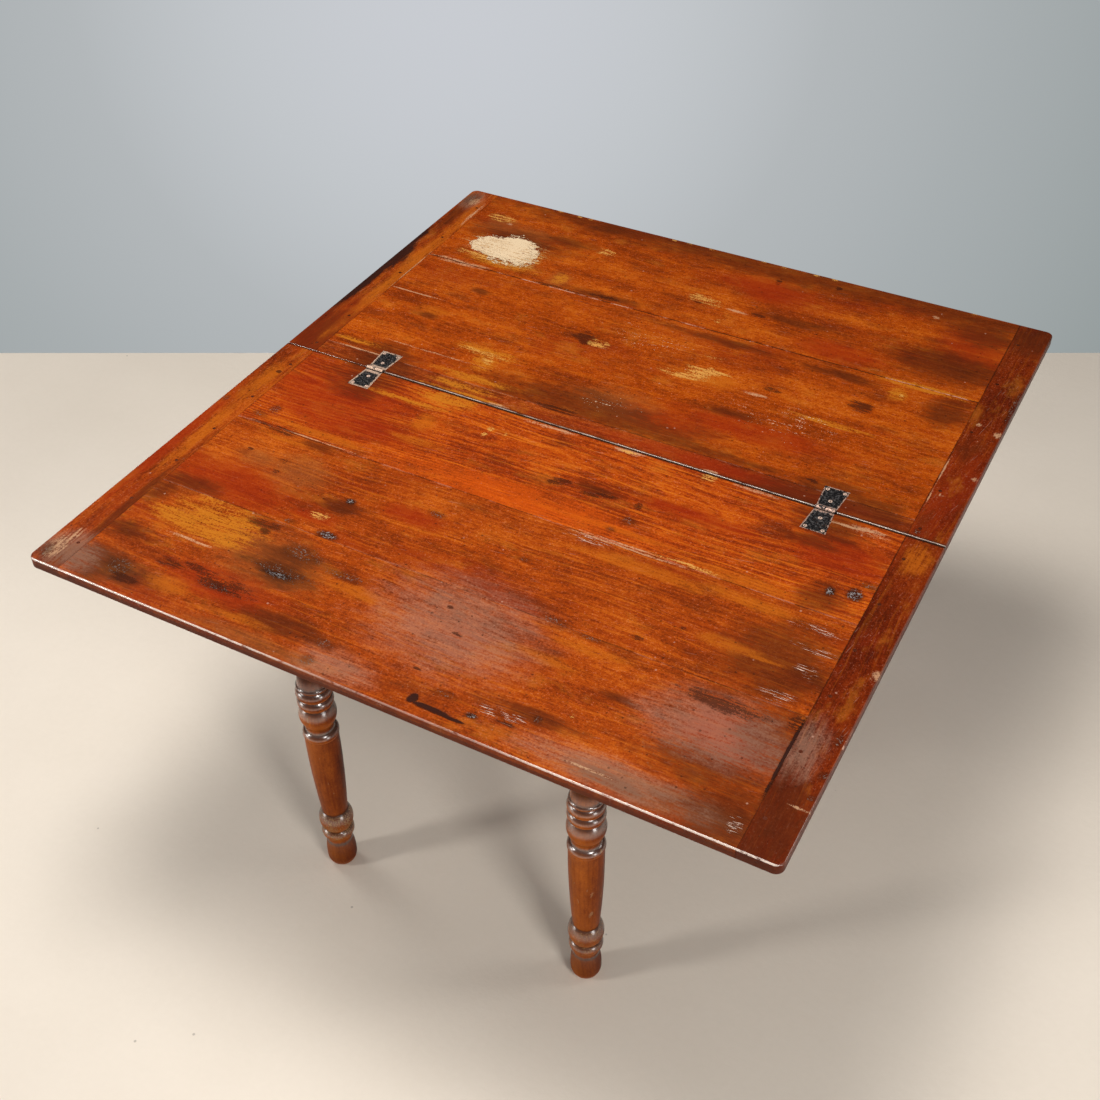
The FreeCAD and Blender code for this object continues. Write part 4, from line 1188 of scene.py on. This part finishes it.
@dataclass
class Studio:
    """The plain room round the table: floor, backdrop, soft lamps and the camera.

    Attributes:
        target: the point of the top that the camera's axis meets.
        azimuth: the camera's direction round the table, in degrees.
        elevation: its height above the horizon, in degrees.
        roll: its turn about its own axis, in degrees.
        distance: its distance from the target.
        lens: its focal length in millimetres.
        sensor: the width of its sensor in millimetres.
        wall_point: a point of the line where the floor ends.
        wall_turn: that line's direction, in degrees from x.
        floor_reach: how far the floor goes along that line and in front of it.
        wall_glow: the direction in which the backdrop is brightest.
        glow_edge: cosine of the angle from there at which it is darkest.
        lamps: the lamps.
    """

    target: Point = (0.0903, -0.298, 0.78)
    azimuth: float = 29.23
    elevation: float = 41.31
    roll: float = -1.08
    distance: float = 2.2846
    lens: float = 46.83
    sensor: float = 36.0
    wall_point: Span = (-0.752, 1.23)
    wall_turn: float = 27.3
    floor_reach: float = 9.0
    wall_glow: Point = (-0.506, 0.794, -0.335)
    glow_edge: float = 0.85
    lamps: tuple[Softbox, ...] = (
        Softbox("overhead_lamp", (-0.4, -0.3, 3.7), (-0.3, -0.2, 0.0), (1.25, 1.25), 84.0),
        Softbox("ceiling_bounce", (0.9, -2.7, 4.2), (0.3, -0.6, 0.3), (5.0, 3.6), 12.0),
        Softbox("front_lamp", (-3.6, -3.9, 2.9), (0.0, 0.0, 0.4), (0.75, 0.75), 84.0),
        Softbox("left_lamp", (-2.3, 0.0, 2.8), (-1.0, -0.2, 0.0), (0.9, 0.9), 17.0),
        Softbox("right_lamp", (2.1, -1.8, 2.2), (0.3, -0.6, 0.2), (0.65, 0.65), 36.0),
        Softbox("back_lamp", (3.7, 1.8, 3.2), (0.3, 0.2, 0.3), (1.2, 1.2), 30.0),
        Softbox("left_glint", (-2.2, -2.2, 0.5), (0.0, -0.5, 0.45), (0.8, 0.7), 16.0, glint=True),
        Softbox("right_glint", (3.1, -1.5, 0.5), (0.0, -0.5, 0.45), (0.8, 0.7), 16.0, glint=True),
    )

    SCREED = ((0.2, rgb(0.75, 0.68, 0.585)), (0.8, rgb(0.83, 0.76, 0.665)))
    CRUMB = rgb(0.30, 0.26, 0.22)
    RELIEF = 0.0005
    WALL = (
        (0.2, rgb(0.30, 0.335, 0.335)),
        (0.6, rgb(0.39, 0.42, 0.43)),
        (0.8, rgb(0.45, 0.475, 0.49)),
        (0.92, rgb(0.535, 0.56, 0.585)),
        (1.0, rgb(0.585, 0.605, 0.645)),
    )
    FILL = rgb(0.10, 0.10, 0.105)
    MIRRORED = rgb(0.03, 0.03, 0.032)

    def lay_floor(self) -> None:
        """Lay the pale floor, which ends along a straight line behind the table."""
        turn = math.radians(self.wall_turn)
        side = Vector((math.cos(turn), math.sin(turn), 0.0)) * self.floor_reach
        front = Vector((math.sin(turn), -math.cos(turn), 0.0)) * self.floor_reach
        start = Vector((*self.wall_point, 0.0))
        corners = [start - side, start + side, start + side + front, start - side + front]
        mesh = bpy.data.meshes.new("studio_floor")
        mesh.from_pydata(corners, [], [(3, 2, 1, 0)])
        floor = bpy.data.objects.new("studio_floor", mesh)
        bpy.context.scene.collection.objects.link(floor)
        mesh.materials.append(self.floor_material())
        LOG.info("studio_floor: laid")

    def floor_material(self) -> bpy.types.Material:
        """Make the floor's material: pale warm screed with faint clouds and small crumbs.

        Returns:
            The material.
        """
        material, paint = new_paint("pale_screed")
        place = paint.place()
        cloud = paint.noise(place, 1.6, 5.0, 0.6)
        grit = paint.noise(place, 70.0, 3.0, 0.6)
        shade = 0.5 + cloud.swing(0.9) + grit.swing(0.25)
        skin = Skin(paint, paint.ramp(shade, self.SCREED), 0.62 + grit.swing(0.2), grit)
        far, chosen = paint.cells(place, 11.0)
        crumbs = far.step(0.035, 0.018) * chosen.step(0.72, 0.76)
        skin.lay(self.CRUMB, crumbs * 0.6)
        skin.finish(self.RELIEF, {})
        return material

    def hang_backdrop(self) -> None:
        """Give the surroundings a soft grey-blue backdrop and a dim even fill."""
        world = bpy.data.worlds.new("studio_room")
        bpy.context.scene.world = world
        world.use_nodes = True
        paint = Paint(world.node_tree)
        near = paint.vector("DOT_PRODUCT", paint.place("Generated"), self.wall_glow, output="Value")
        share = (near - self.glow_edge) * (1.0 / (1.0 - self.glow_edge))
        mirrored = paint.node("LightPath", {}, {}, "Is Glossy Ray")
        room = paint.blend(self.FILL, self.MIRRORED, mirrored)
        room = paint.blend(room, paint.ramp(share, self.WALL), mirrored.sibling("Is Camera Ray"))
        light = paint.node("Background", {}, {"Color": room, "Strength": 1.0})
        paint.node("OutputWorld", {}, {"Surface": light})

    def place_camera(self) -> None:
        """Stand the camera where the photograph was taken from."""
        azimuth, elevation = math.radians(self.azimuth), math.radians(self.elevation)
        flat = math.cos(elevation)
        back = Vector((math.sin(azimuth) * flat, -math.cos(azimuth) * flat, math.sin(elevation)))
        right = Vector((math.cos(azimuth), math.sin(azimuth), 0.0))
        axes = Matrix((right, back.cross(right), back)).transposed().to_4x4()
        data = bpy.data.cameras.new("studio_camera")
        data.lens = self.lens
        data.sensor_width = self.sensor
        camera = bpy.data.objects.new("studio_camera", data)
        where = Matrix.Translation(Vector(self.target) + back * self.distance)
        camera.matrix_world = where @ axes @ Matrix.Rotation(math.radians(self.roll), 4, "Z")
        bpy.context.scene.collection.objects.link(camera)
        bpy.context.scene.camera = camera

    def build(self) -> None:
        """Set up the whole room."""
        self.lay_floor()
        self.hang_backdrop()
        for lamp in self.lamps:
            lamp.hang()
        self.place_camera()
        bpy.context.scene.view_settings.view_transform = "Standard"


FIXED_RED = Tones(rgb(0.17, 0.020, 0.003), rgb(0.34, 0.046, 0.003), rgb(0.47, 0.098, 0.006))
FIXED_BROWN = Tones(rgb(0.15, 0.021, 0.003), rgb(0.29, 0.043, 0.003), rgb(0.43, 0.092, 0.007))
FOLD_ORANGE = Tones(rgb(0.16, 0.022, 0.002), rgb(0.31, 0.046, 0.002), rgb(0.45, 0.100, 0.006))
STRIP_RED = Tones(rgb(0.09, 0.013, 0.003), rgb(0.20, 0.029, 0.004), rgb(0.35, 0.065, 0.007))
CLEAT_DARK = Tones(rgb(0.06, 0.007, 0.002), rgb(0.125, 0.014, 0.002), rgb(0.21, 0.030, 0.003))
CLEAT_LIGHT = Tones(rgb(0.11, 0.015, 0.003), rgb(0.25, 0.036, 0.003), rgb(0.38, 0.075, 0.006))

# Two hazes, dull bloom partly painted as a sheen, lie across the joint between the fixed leaf's middle and
# outer boards.
HAZES_AND_SHEEN = ((0.045, -0.515, 0.115, 0.085), (0.475, -0.525, 0.095, 0.055))

# The fold leaf's far edge has lost small flakes, all alike, at these places along x.
FLAKED_AT = (-0.424, -0.373, -0.349, -0.148, -0.113, -0.064, 0.052, 0.097, 0.167, 0.206, 0.494)
EDGE_FLAKES = tuple((x, 0.6955, 0.006, 0.004) for x in FLAKED_AT)

FIXED_BOARD_SEAM = Plank(
    "fixed_board_seam",
    FIXED_RED,
    Cut(Axis.X, 0.03, 0.05, 0.055, 1.3, 1.3),
    {
        Mark.RED: (
            (-0.46, -0.09, 0.13, 0.06), (0.28, -0.115, 0.10, 0.014), (0.5, -0.1, 0.07, 0.04),
            (-0.42, -0.16, 0.12, 0.04),
        ),
        Mark.GRIME: (
            (-0.443, -0.03, 0.06, 0.06), (0.455, -0.035, 0.055, 0.045), (0.475, -0.062, 0.045, 0.016),
            (0.45, -0.085, 0.05, 0.015), (0.51, -0.205, 0.03, 0.035), (0.085, -0.128, 0.035, 0.010),
        ),
        Mark.WARM: (
            (-0.272, -0.10, 0.018, 0.022), (-0.265, -0.152, 0.045, 0.008), (0.40, -0.222, 0.09, 0.015),
            (0.14, -0.205, 0.12, 0.006), (-0.42, -0.215, 0.09, 0.010),
        ),
        Mark.GLOW: ((-0.28, -0.024, 0.055, 0.018), (-0.34, -0.055, 0.07, 0.007)),
        Mark.EMBER: ((-0.02, -0.21, 0.19, 0.035),),
        Mark.PALE: (
            (-0.07, -0.009, 0.05, 0.005), (0.09, -0.009, 0.025, 0.005), (0.53, -0.022, 0.035, 0.010),
            (0.50, -0.024, 0.06, 0.003), (0.33, -0.008, 0.04, 0.004), (0.20, -0.232, 0.09, 0.0018),
            (-0.445, -0.232, 0.12, 0.0014),
        ),
        Mark.KNOT: (
            (0.018, -0.138, 0.018, 0.010), (0.026, -0.130, 0.012, 0.007), (0.08, -0.143, 0.022, 0.005),
            (0.108, -0.134, 0.018, 0.005), (0.167, -0.135, 0.007, 0.008), (-0.505, -0.231, 0.04, 0.004),
        ),
        Mark.FLAKE: (
            (-0.158, -0.063, 0.006, 0.008), (-0.125, -0.065, 0.005, 0.005), (-0.160, -0.082, 0.005, 0.006),
            (0.24, -0.013, 0.014, 0.009), (0.30, -0.229, 0.055, 0.004), (0.09, -0.010, 0.012, 0.004),
        ),
        Mark.CHIP: (
            (-0.533, -0.188, 0.008, 0.010), (-0.55, -0.213, 0.014, 0.006), (0.57, -0.145, 0.012, 0.006),
            (0.170, -0.176, 0.009, 0.008), (0.153, -0.208, 0.007, 0.005),
        ),
        Mark.GREY: ((0.518, -0.183, 0.006, 0.007), (0.555, -0.172, 0.009, 0.011)),
    },
)

FIXED_BOARD_MIDDLE = Plank(
    "fixed_board_middle",
    FIXED_BROWN,
    Cut(Axis.X, -0.05, 0.06, -0.04, 5.1, 0.7),
    {
        Mark.RED: ((-0.48, -0.395, 0.13, 0.05), (-0.29, -0.405, 0.04, 0.014), (-0.15, -0.33, 0.05, 0.02)),
        Mark.DULL: ((-0.385, -0.32, 0.055, 0.04), (-0.47, -0.32, 0.04, 0.02)),
        Mark.GRIME: (
            (0.50, -0.36, 0.08, 0.07), (-0.40, -0.244, 0.03, 0.012), (-0.53, -0.43, 0.06, 0.02),
            (-0.27, -0.365, 0.03, 0.02),
        ),
        Mark.WARM: (
            (0.425, -0.363, 0.045, 0.010), (0.475, -0.367, 0.04, 0.004), (0.42, -0.262, 0.08, 0.012),
            (0.25, -0.27, 0.10, 0.012), (-0.455, -0.255, 0.05, 0.007),
        ),
        Mark.BLOOM: HAZES_AND_SHEEN,
        Mark.PALE: ((0.20, -0.238, 0.10, 0.002),),
        Mark.KNOT: (
            (-0.427, -0.305, 0.012, 0.007), (-0.423, -0.336, 0.008, 0.004), (-0.50, -0.305, 0.006, 0.004),
            (0.30, -0.412, 0.010, 0.006), (-0.49, -0.241, 0.03, 0.005), (0.352, -0.363, 0.005, 0.004),
        ),
        Mark.FLAKE: ((-0.285, -0.40, 0.02, 0.008),),
        Mark.CHIP: (
            (-0.322, -0.432, 0.009, 0.005), (0.065, -0.336, 0.010, 0.004), (-0.115, -0.306, 0.012, 0.006),
            (0.178, -0.437, 0.020, 0.005),
        ),
        Mark.GREY: ((-0.262, -0.345, 0.007, 0.005), (-0.248, -0.434, 0.014, 0.007)),
        Mark.SCRATCH: (
            (0.525, -0.272, 0.035, 0.008), (0.545, -0.315, 0.035, 0.006), (0.545, -0.362, 0.016, 0.012),
            (0.53, -0.425, 0.03, 0.011), (0.13, -0.247, 0.04, 0.008),
        ),
    },
)

FIXED_BOARD_OUTER = Plank(
    "fixed_board_outer",
    FIXED_BROWN,
    Cut(Axis.X, 0.02, 0.09, 0.03, 9.7, 0.55),
    {
        Mark.RED: ((-0.33, -0.61, 0.09, 0.03), (0.50, -0.53, 0.07, 0.04)),
        Mark.DULL: (
            (-0.29, -0.525, 0.085, 0.055), (-0.515, -0.655, 0.06, 0.03), (0.47, -0.672, 0.14, 0.024),
            (-0.20, -0.685, 0.12, 0.014),
        ),
        Mark.GRIME: (
            (-0.27, -0.53, 0.06, 0.04), (-0.565, -0.47, 0.022, 0.03), (-0.55, -0.57, 0.04, 0.02),
            (-0.47, -0.66, 0.06, 0.02), (0.49, -0.592, 0.09, 0.035), (0.25, -0.62, 0.06, 0.012),
            (-0.20, -0.64, 0.07, 0.02), (0.33, -0.534, 0.035, 0.008), (0.38, -0.675, 0.06, 0.010),
            (0.56, -0.66, 0.09, 0.06), (0.55, -0.50, 0.05, 0.06), (-0.545, -0.655, 0.05, 0.035),
        ),
        Mark.WARM: (
            (-0.40, -0.648, 0.035, 0.016), (-0.25, -0.655, 0.05, 0.008), (0.20, -0.515, 0.05, 0.010),
            (0.25, -0.47, 0.06, 0.008), (-0.13, -0.525, 0.05, 0.012),
        ),
        Mark.GLOW: (
            (-0.425, -0.485, 0.072, 0.040), (-0.49, -0.51, 0.05, 0.016), (-0.467, -0.445, 0.025, 0.012),
            (-0.40, -0.522, 0.035, 0.013),
        ),
        Mark.BLOOM: (
            *HAZES_AND_SHEEN, (-0.065, -0.672, 0.055, 0.026), (0.38, -0.665, 0.12, 0.024),
            (-0.575, -0.662, 0.034, 0.030),
        ),
        Mark.PALE: ((-0.435, -0.545, 0.04, 0.003), (0.355, -0.671, 0.035, 0.002)),
        Mark.KNOT: (
            (-0.355, -0.457, 0.028, 0.010), (-0.345, -0.4725, 0.010, 0.008), (-0.428, -0.604, 0.022, 0.009),
            (-0.388, -0.595, 0.02, 0.009), (-0.325, -0.606, 0.050, 0.014), (0.465, -0.476, 0.055, 0.013),
            (0.572, -0.463, 0.014, 0.016), (-0.47, -0.665, 0.03, 0.008), (0.02, -0.484, 0.006, 0.004),
            (0.06, -0.53, 0.008, 0.004), (0.045, -0.619, 0.006, 0.003), (0.21, -0.65, 0.014, 0.005),
        ),
        Mark.FLAKE: ((0.2875, -0.595, 0.004, 0.004),),
        Mark.CHIP: (
            (-0.265, -0.541, 0.045, 0.013), (-0.25, -0.49, 0.03, 0.014), (-0.165, -0.503, 0.028, 0.007),
            (-0.50, -0.648, 0.018, 0.020), (-0.11, -0.678, 0.010, 0.007), (-0.105, -0.640, 0.014, 0.006),
            (0.24, -0.446, 0.024, 0.004), (0.1025, -0.6425, 0.013, 0.006), (0.2475, -0.6225, 0.005, 0.005),
            (-0.33, -0.617, 0.03, 0.006),
        ),
        Mark.GREY: ((-0.262, -0.548, 0.022, 0.005), (0.1625, -0.661, 0.007, 0.004)),
        Mark.GOUGE: (
            (0.069, -0.670, 0.008, 0.009), (0.105, -0.677, 0.032, 0.005), (0.135, -0.679, 0.022, 0.003),
            (0.5795, -0.52, 0.003, 0.075),
        ),
        Mark.SCRATCH: ((0.20, -0.64, 0.040, 0.010), (0.565, -0.665, 0.010, 0.015)),
    },
)

FIXED_CLEAT_LEFT = Plank(
    "fixed_cleat_left",
    CLEAT_LIGHT,
    Cut(Axis.Y, 0.01, 0.05, 0.02, 14.2, 0.25),
    {
        Mark.RED: ((-0.635, -0.35, 0.012, 0.16),),
        Mark.GRIME: ((-0.587, -0.52, 0.010, 0.14), (-0.60, -0.668, 0.035, 0.035)),
        Mark.WARM: ((-0.606, -0.30, 0.011, 0.10), (-0.61, -0.13, 0.016, 0.06)),
        Mark.BLOOM: ((-0.605, -0.652, 0.040, 0.038),),
        Mark.PALE: ((-0.618, -0.654, 0.014, 0.027), (-0.612, -0.622, 0.006, 0.018)),
        Mark.KNOT: ((-0.60, -0.09, 0.005, 0.004),),
        Mark.CHIP: ((-0.630, -0.672, 0.010, 0.012), (-0.636, -0.200, 0.006, 0.008)),
    },
)

FIXED_CLEAT_RIGHT = Plank(
    "fixed_cleat_right",
    CLEAT_DARK,
    Cut(Axis.Y, -0.01, 0.04, -0.02, 18.9, 0.1),
    {
        Mark.GRIME: ((0.612, -0.64, 0.045, 0.09),),
        Mark.WARM: ((0.615, -0.055, 0.018, 0.035),),
        Mark.BLOOM: ((0.600, -0.50, 0.022, 0.05),),
        Mark.PALE: ((0.640, -0.325, 0.006, 0.012), (0.632, -0.60, 0.014, 0.002)),
        Mark.CHIP: (
            (0.635, -0.465, 0.005, 0.011), (0.6365, -0.533, 0.005, 0.007), (0.637, -0.575, 0.004, 0.005),
        ),
    },
)

FOLD_BOARD_STRIP = Plank(
    "fold_board_strip",
    STRIP_RED,
    Cut(Axis.X, 0.02, 0.04, 0.03, 23.4, 0.5),
    {
        Mark.RED: ((0.25, 0.022, 0.25, 0.016),),
        Mark.GRIME: ((-0.443, 0.03, 0.06, 0.06), (0.40, 0.02, 0.08, 0.025), (0.50, 0.03, 0.07, 0.03)),
        Mark.GLOW: ((-0.27, 0.028, 0.06, 0.008), (-0.25, 0.008, 0.08, 0.004)),
        Mark.PALE: ((-0.18, 0.006, 0.02, 0.004), (0.235, 0.006, 0.015, 0.004)),
        Mark.KNOT: ((-0.08, 0.040, 0.035, 0.003),),
    },
)

FOLD_BOARD_MIDDLE = Plank(
    "fold_board_middle",
    FOLD_ORANGE,
    Cut(Axis.X, -0.04, 0.07, 0.045, 27.8, 0.35),
    {
        Mark.RED: ((0.25, 0.14, 0.14, 0.03), (0.10, 0.10, 0.10, 0.03)),
        Mark.DULL: ((0.0, 0.11, 0.07, 0.04),),
        Mark.GRIME: (
            (-0.443, 0.055, 0.05, 0.03), (0.443, 0.055, 0.06, 0.03), (0.405, 0.055, 0.03, 0.015),
            (0.50, 0.05, 0.05, 0.012), (0.12, 0.055, 0.22, 0.012), (-0.03, 0.075, 0.20, 0.04),
            (0.20, 0.175, 0.06, 0.012), (0.54, 0.35, 0.04, 0.04), (0.33, 0.38, 0.06, 0.012),
            (0.1, 0.385, 0.10, 0.012), (-0.41, 0.33, 0.020, 0.009), (-0.46, 0.207, 0.022, 0.009),
        ),
        Mark.WARM: ((0.11, 0.255, 0.05, 0.02), (-0.45, 0.225, 0.03, 0.012)),
        Mark.GLOW: (
            (-0.285, 0.146, 0.060, 0.012), (-0.275, 0.115, 0.022, 0.024), (-0.265, 0.060, 0.080, 0.009),
            (-0.52, 0.067, 0.045, 0.006), (0.48, 0.403, 0.07, 0.005), (0.445, 0.368, 0.015, 0.018),
            (0.37, 0.228, 0.060, 0.006),
        ),
        Mark.PALE: (
            (-0.52, 0.266, 0.055, 0.002), (-0.37, 0.098, 0.09, 0.0018), (-0.51, 0.406, 0.05, 0.004),
            (0.215, 0.251, 0.022, 0.004), (-0.50, 0.044, 0.06, 0.002),
        ),
        Mark.KNOT: (
            (-0.145, 0.278, 0.022, 0.016), (-0.138, 0.262, 0.012, 0.012), (0.397, 0.302, 0.022, 0.015),
            (0.24, 0.278, 0.016, 0.006), (0.398, 0.0625, 0.010, 0.006), (-0.08, 0.048, 0.035, 0.005),
        ),
        Mark.FLAKE: (
            (-0.290, 0.140, 0.050, 0.008), (-0.270, 0.122, 0.012, 0.014), (-0.11, 0.266, 0.020, 0.013),
            (0.10, 0.268, 0.030, 0.017), (0.075, 0.247, 0.040, 0.008), (0.13, 0.282, 0.025, 0.004),
            (0.452, 0.366, 0.005, 0.007), (0.10, 0.325, 0.020, 0.003),
        ),
        Mark.SPECK: ((-0.01, 0.105, 0.06, 0.035), (-0.03, 0.33, 0.10, 0.05), (0.3, 0.2, 0.12, 0.05)),
    },
)

FOLD_BOARD_OUTER = Plank(
    "fold_board_outer",
    FOLD_ORANGE,
    Cut(Axis.X, 0.05, 0.08, -0.03, 33.1, 0.3),
    {
        Mark.RED: ((0.10, 0.60, 0.08, 0.04), (0.30, 0.45, 0.08, 0.03), (0.53, 0.585, 0.07, 0.06)),
        Mark.DULL: (
            (-0.505, 0.580, 0.040, 0.030), (-0.435, 0.575, 0.05, 0.03), (-0.29, 0.44, 0.022, 0.026),
            (-0.42, 0.462, 0.06, 0.018),
        ),
        Mark.GRIME: (
            (0.05, 0.690, 0.62, 0.045), (0.53, 0.635, 0.07, 0.045), (-0.345, 0.585, 0.06, 0.020),
            (0.50, 0.50, 0.10, 0.05), (-0.18, 0.425, 0.08, 0.012), (0.19, 0.508, 0.06, 0.012),
            (-0.44, 0.545, 0.10, 0.03), (0.46, 0.685, 0.16, 0.040),
        ),
        Mark.GLOW: ((0.48, 0.413, 0.07, 0.005), (-0.29, 0.445, 0.014, 0.018), (-0.43, 0.447, 0.07, 0.014)),
        Mark.PALE: (
            (-0.51, 0.414, 0.06, 0.004), (0.08, 0.495, 0.025, 0.004), (0.43, 0.652, 0.006, 0.005),
            (-0.495, 0.597, 0.008, 0.004),
        ),
        Mark.KNOT: (
            (0.12, 0.50, 0.012, 0.006), (-0.175, 0.425, 0.030, 0.011), (0.11, 0.64, 0.006, 0.012),
            (0.225, 0.668, 0.006, 0.010), (-0.003, 0.491, 0.010, 0.004), (-0.28, 0.414, 0.05, 0.004),
        ),
        Mark.FLAKE: (
            (-0.525, 0.612, 0.026, 0.015), (-0.255, 0.583, 0.019, 0.012), (0.005, 0.506, 0.030, 0.014),
            (0.055, 0.445, 0.008, 0.008), *EDGE_FLAKES, (-0.455, 0.459, 0.072, 0.016),
            (-0.376, 0.488, 0.020, 0.032),
        ),
        Mark.BARE: (
            (-0.437, 0.504, 0.050, 0.050), (-0.480, 0.501, 0.045, 0.034), (-0.407, 0.492, 0.034, 0.038),
        ),
        Mark.TAN: ((-0.392, 0.500, 0.034, 0.052), (-0.490, 0.500, 0.050, 0.036)),
    },
)

FOLD_CLEAT_LEFT = Plank(
    "fold_cleat_left",
    CLEAT_LIGHT,
    Cut(Axis.Y, 0.01, 0.05, 0.03, 37.5, 0.25),
    {
        Mark.RED: ((-0.61, 0.07, 0.05, 0.12),),
        Mark.GRIME: ((-0.625, 0.60, 0.02, 0.08), (-0.61, 0.05, 0.05, 0.12)),
        Mark.WARM: ((-0.594, 0.36, 0.014, 0.24),),
        Mark.BLOOM: ((-0.622, 0.655, 0.022, 0.035),),
        Mark.PALE: (
            (-0.588, 0.60, 0.004, 0.05), (-0.615, 0.65, 0.012, 0.015), (-0.5825, 0.345, 0.0012, 0.075),
        ),
        Mark.CHIP: ((-0.63, 0.66, 0.015, 0.020),),
        Mark.GOUGE: ((-0.640, 0.37, 0.020, 0.07), (-0.642, 0.27, 0.013, 0.12), (-0.646, 0.45, 0.013, 0.06)),
    },
)

FOLD_CLEAT_RIGHT = Plank(
    "fold_cleat_right",
    CLEAT_DARK,
    Cut(Axis.Y, -0.01, 0.04, -0.02, 41.6, 0.1),
    {
        Mark.GRIME: ((0.62, 0.66, 0.04, 0.06),),
        Mark.PALE: (
            (0.600, 0.345, 0.004, 0.005), (0.600, 0.123, 0.004, 0.005), (0.637, 0.19, 0.006, 0.006),
            (0.638, 0.33, 0.006, 0.008), (0.5835, 0.19, 0.0015, 0.04), (0.5835, 0.11, 0.0012, 0.02),
        ),
        Mark.CHIP: ((0.593, 0.015, 0.005, 0.006), (0.640, 0.42, 0.004, 0.05)),
    },
)

FIXED_LEAF = Leaf(
    "fixed",
    Beneath.RAW,
    (0.10, 0.25),
    (FIXED_BOARD_SEAM, FIXED_BOARD_MIDDLE, FIXED_BOARD_OUTER, FIXED_CLEAT_LEFT, FIXED_CLEAT_RIGHT),
)
FOLD_LEAF = Leaf(
    "fold",
    Beneath.VARNISHED,
    (0.15, 0.9),
    (FOLD_BOARD_STRIP, FOLD_BOARD_MIDDLE, FOLD_BOARD_OUTER, FOLD_CLEAT_LEFT, FOLD_CLEAT_RIGHT),
)


def main() -> None:
    """Set up the room and dress the table piece by piece."""
    logging.basicConfig(level=logging.INFO)
    Studio().build()
    FIXED_LEAF.dress()
    FOLD_LEAF.dress()
    Underframe().dress()
    Hinge("left", knuckle=0.0135, rim=0.0042, whole=0.85, bright=rgb(0.60, 0.42, 0.31)).dress()
    Hinge("right", knuckle=0.0105, rim=0.0024, whole=0.62, bright=rgb(0.55, 0.36, 0.28)).dress()
    Fastenings().dress()


if __name__ == "__main__":
    main()
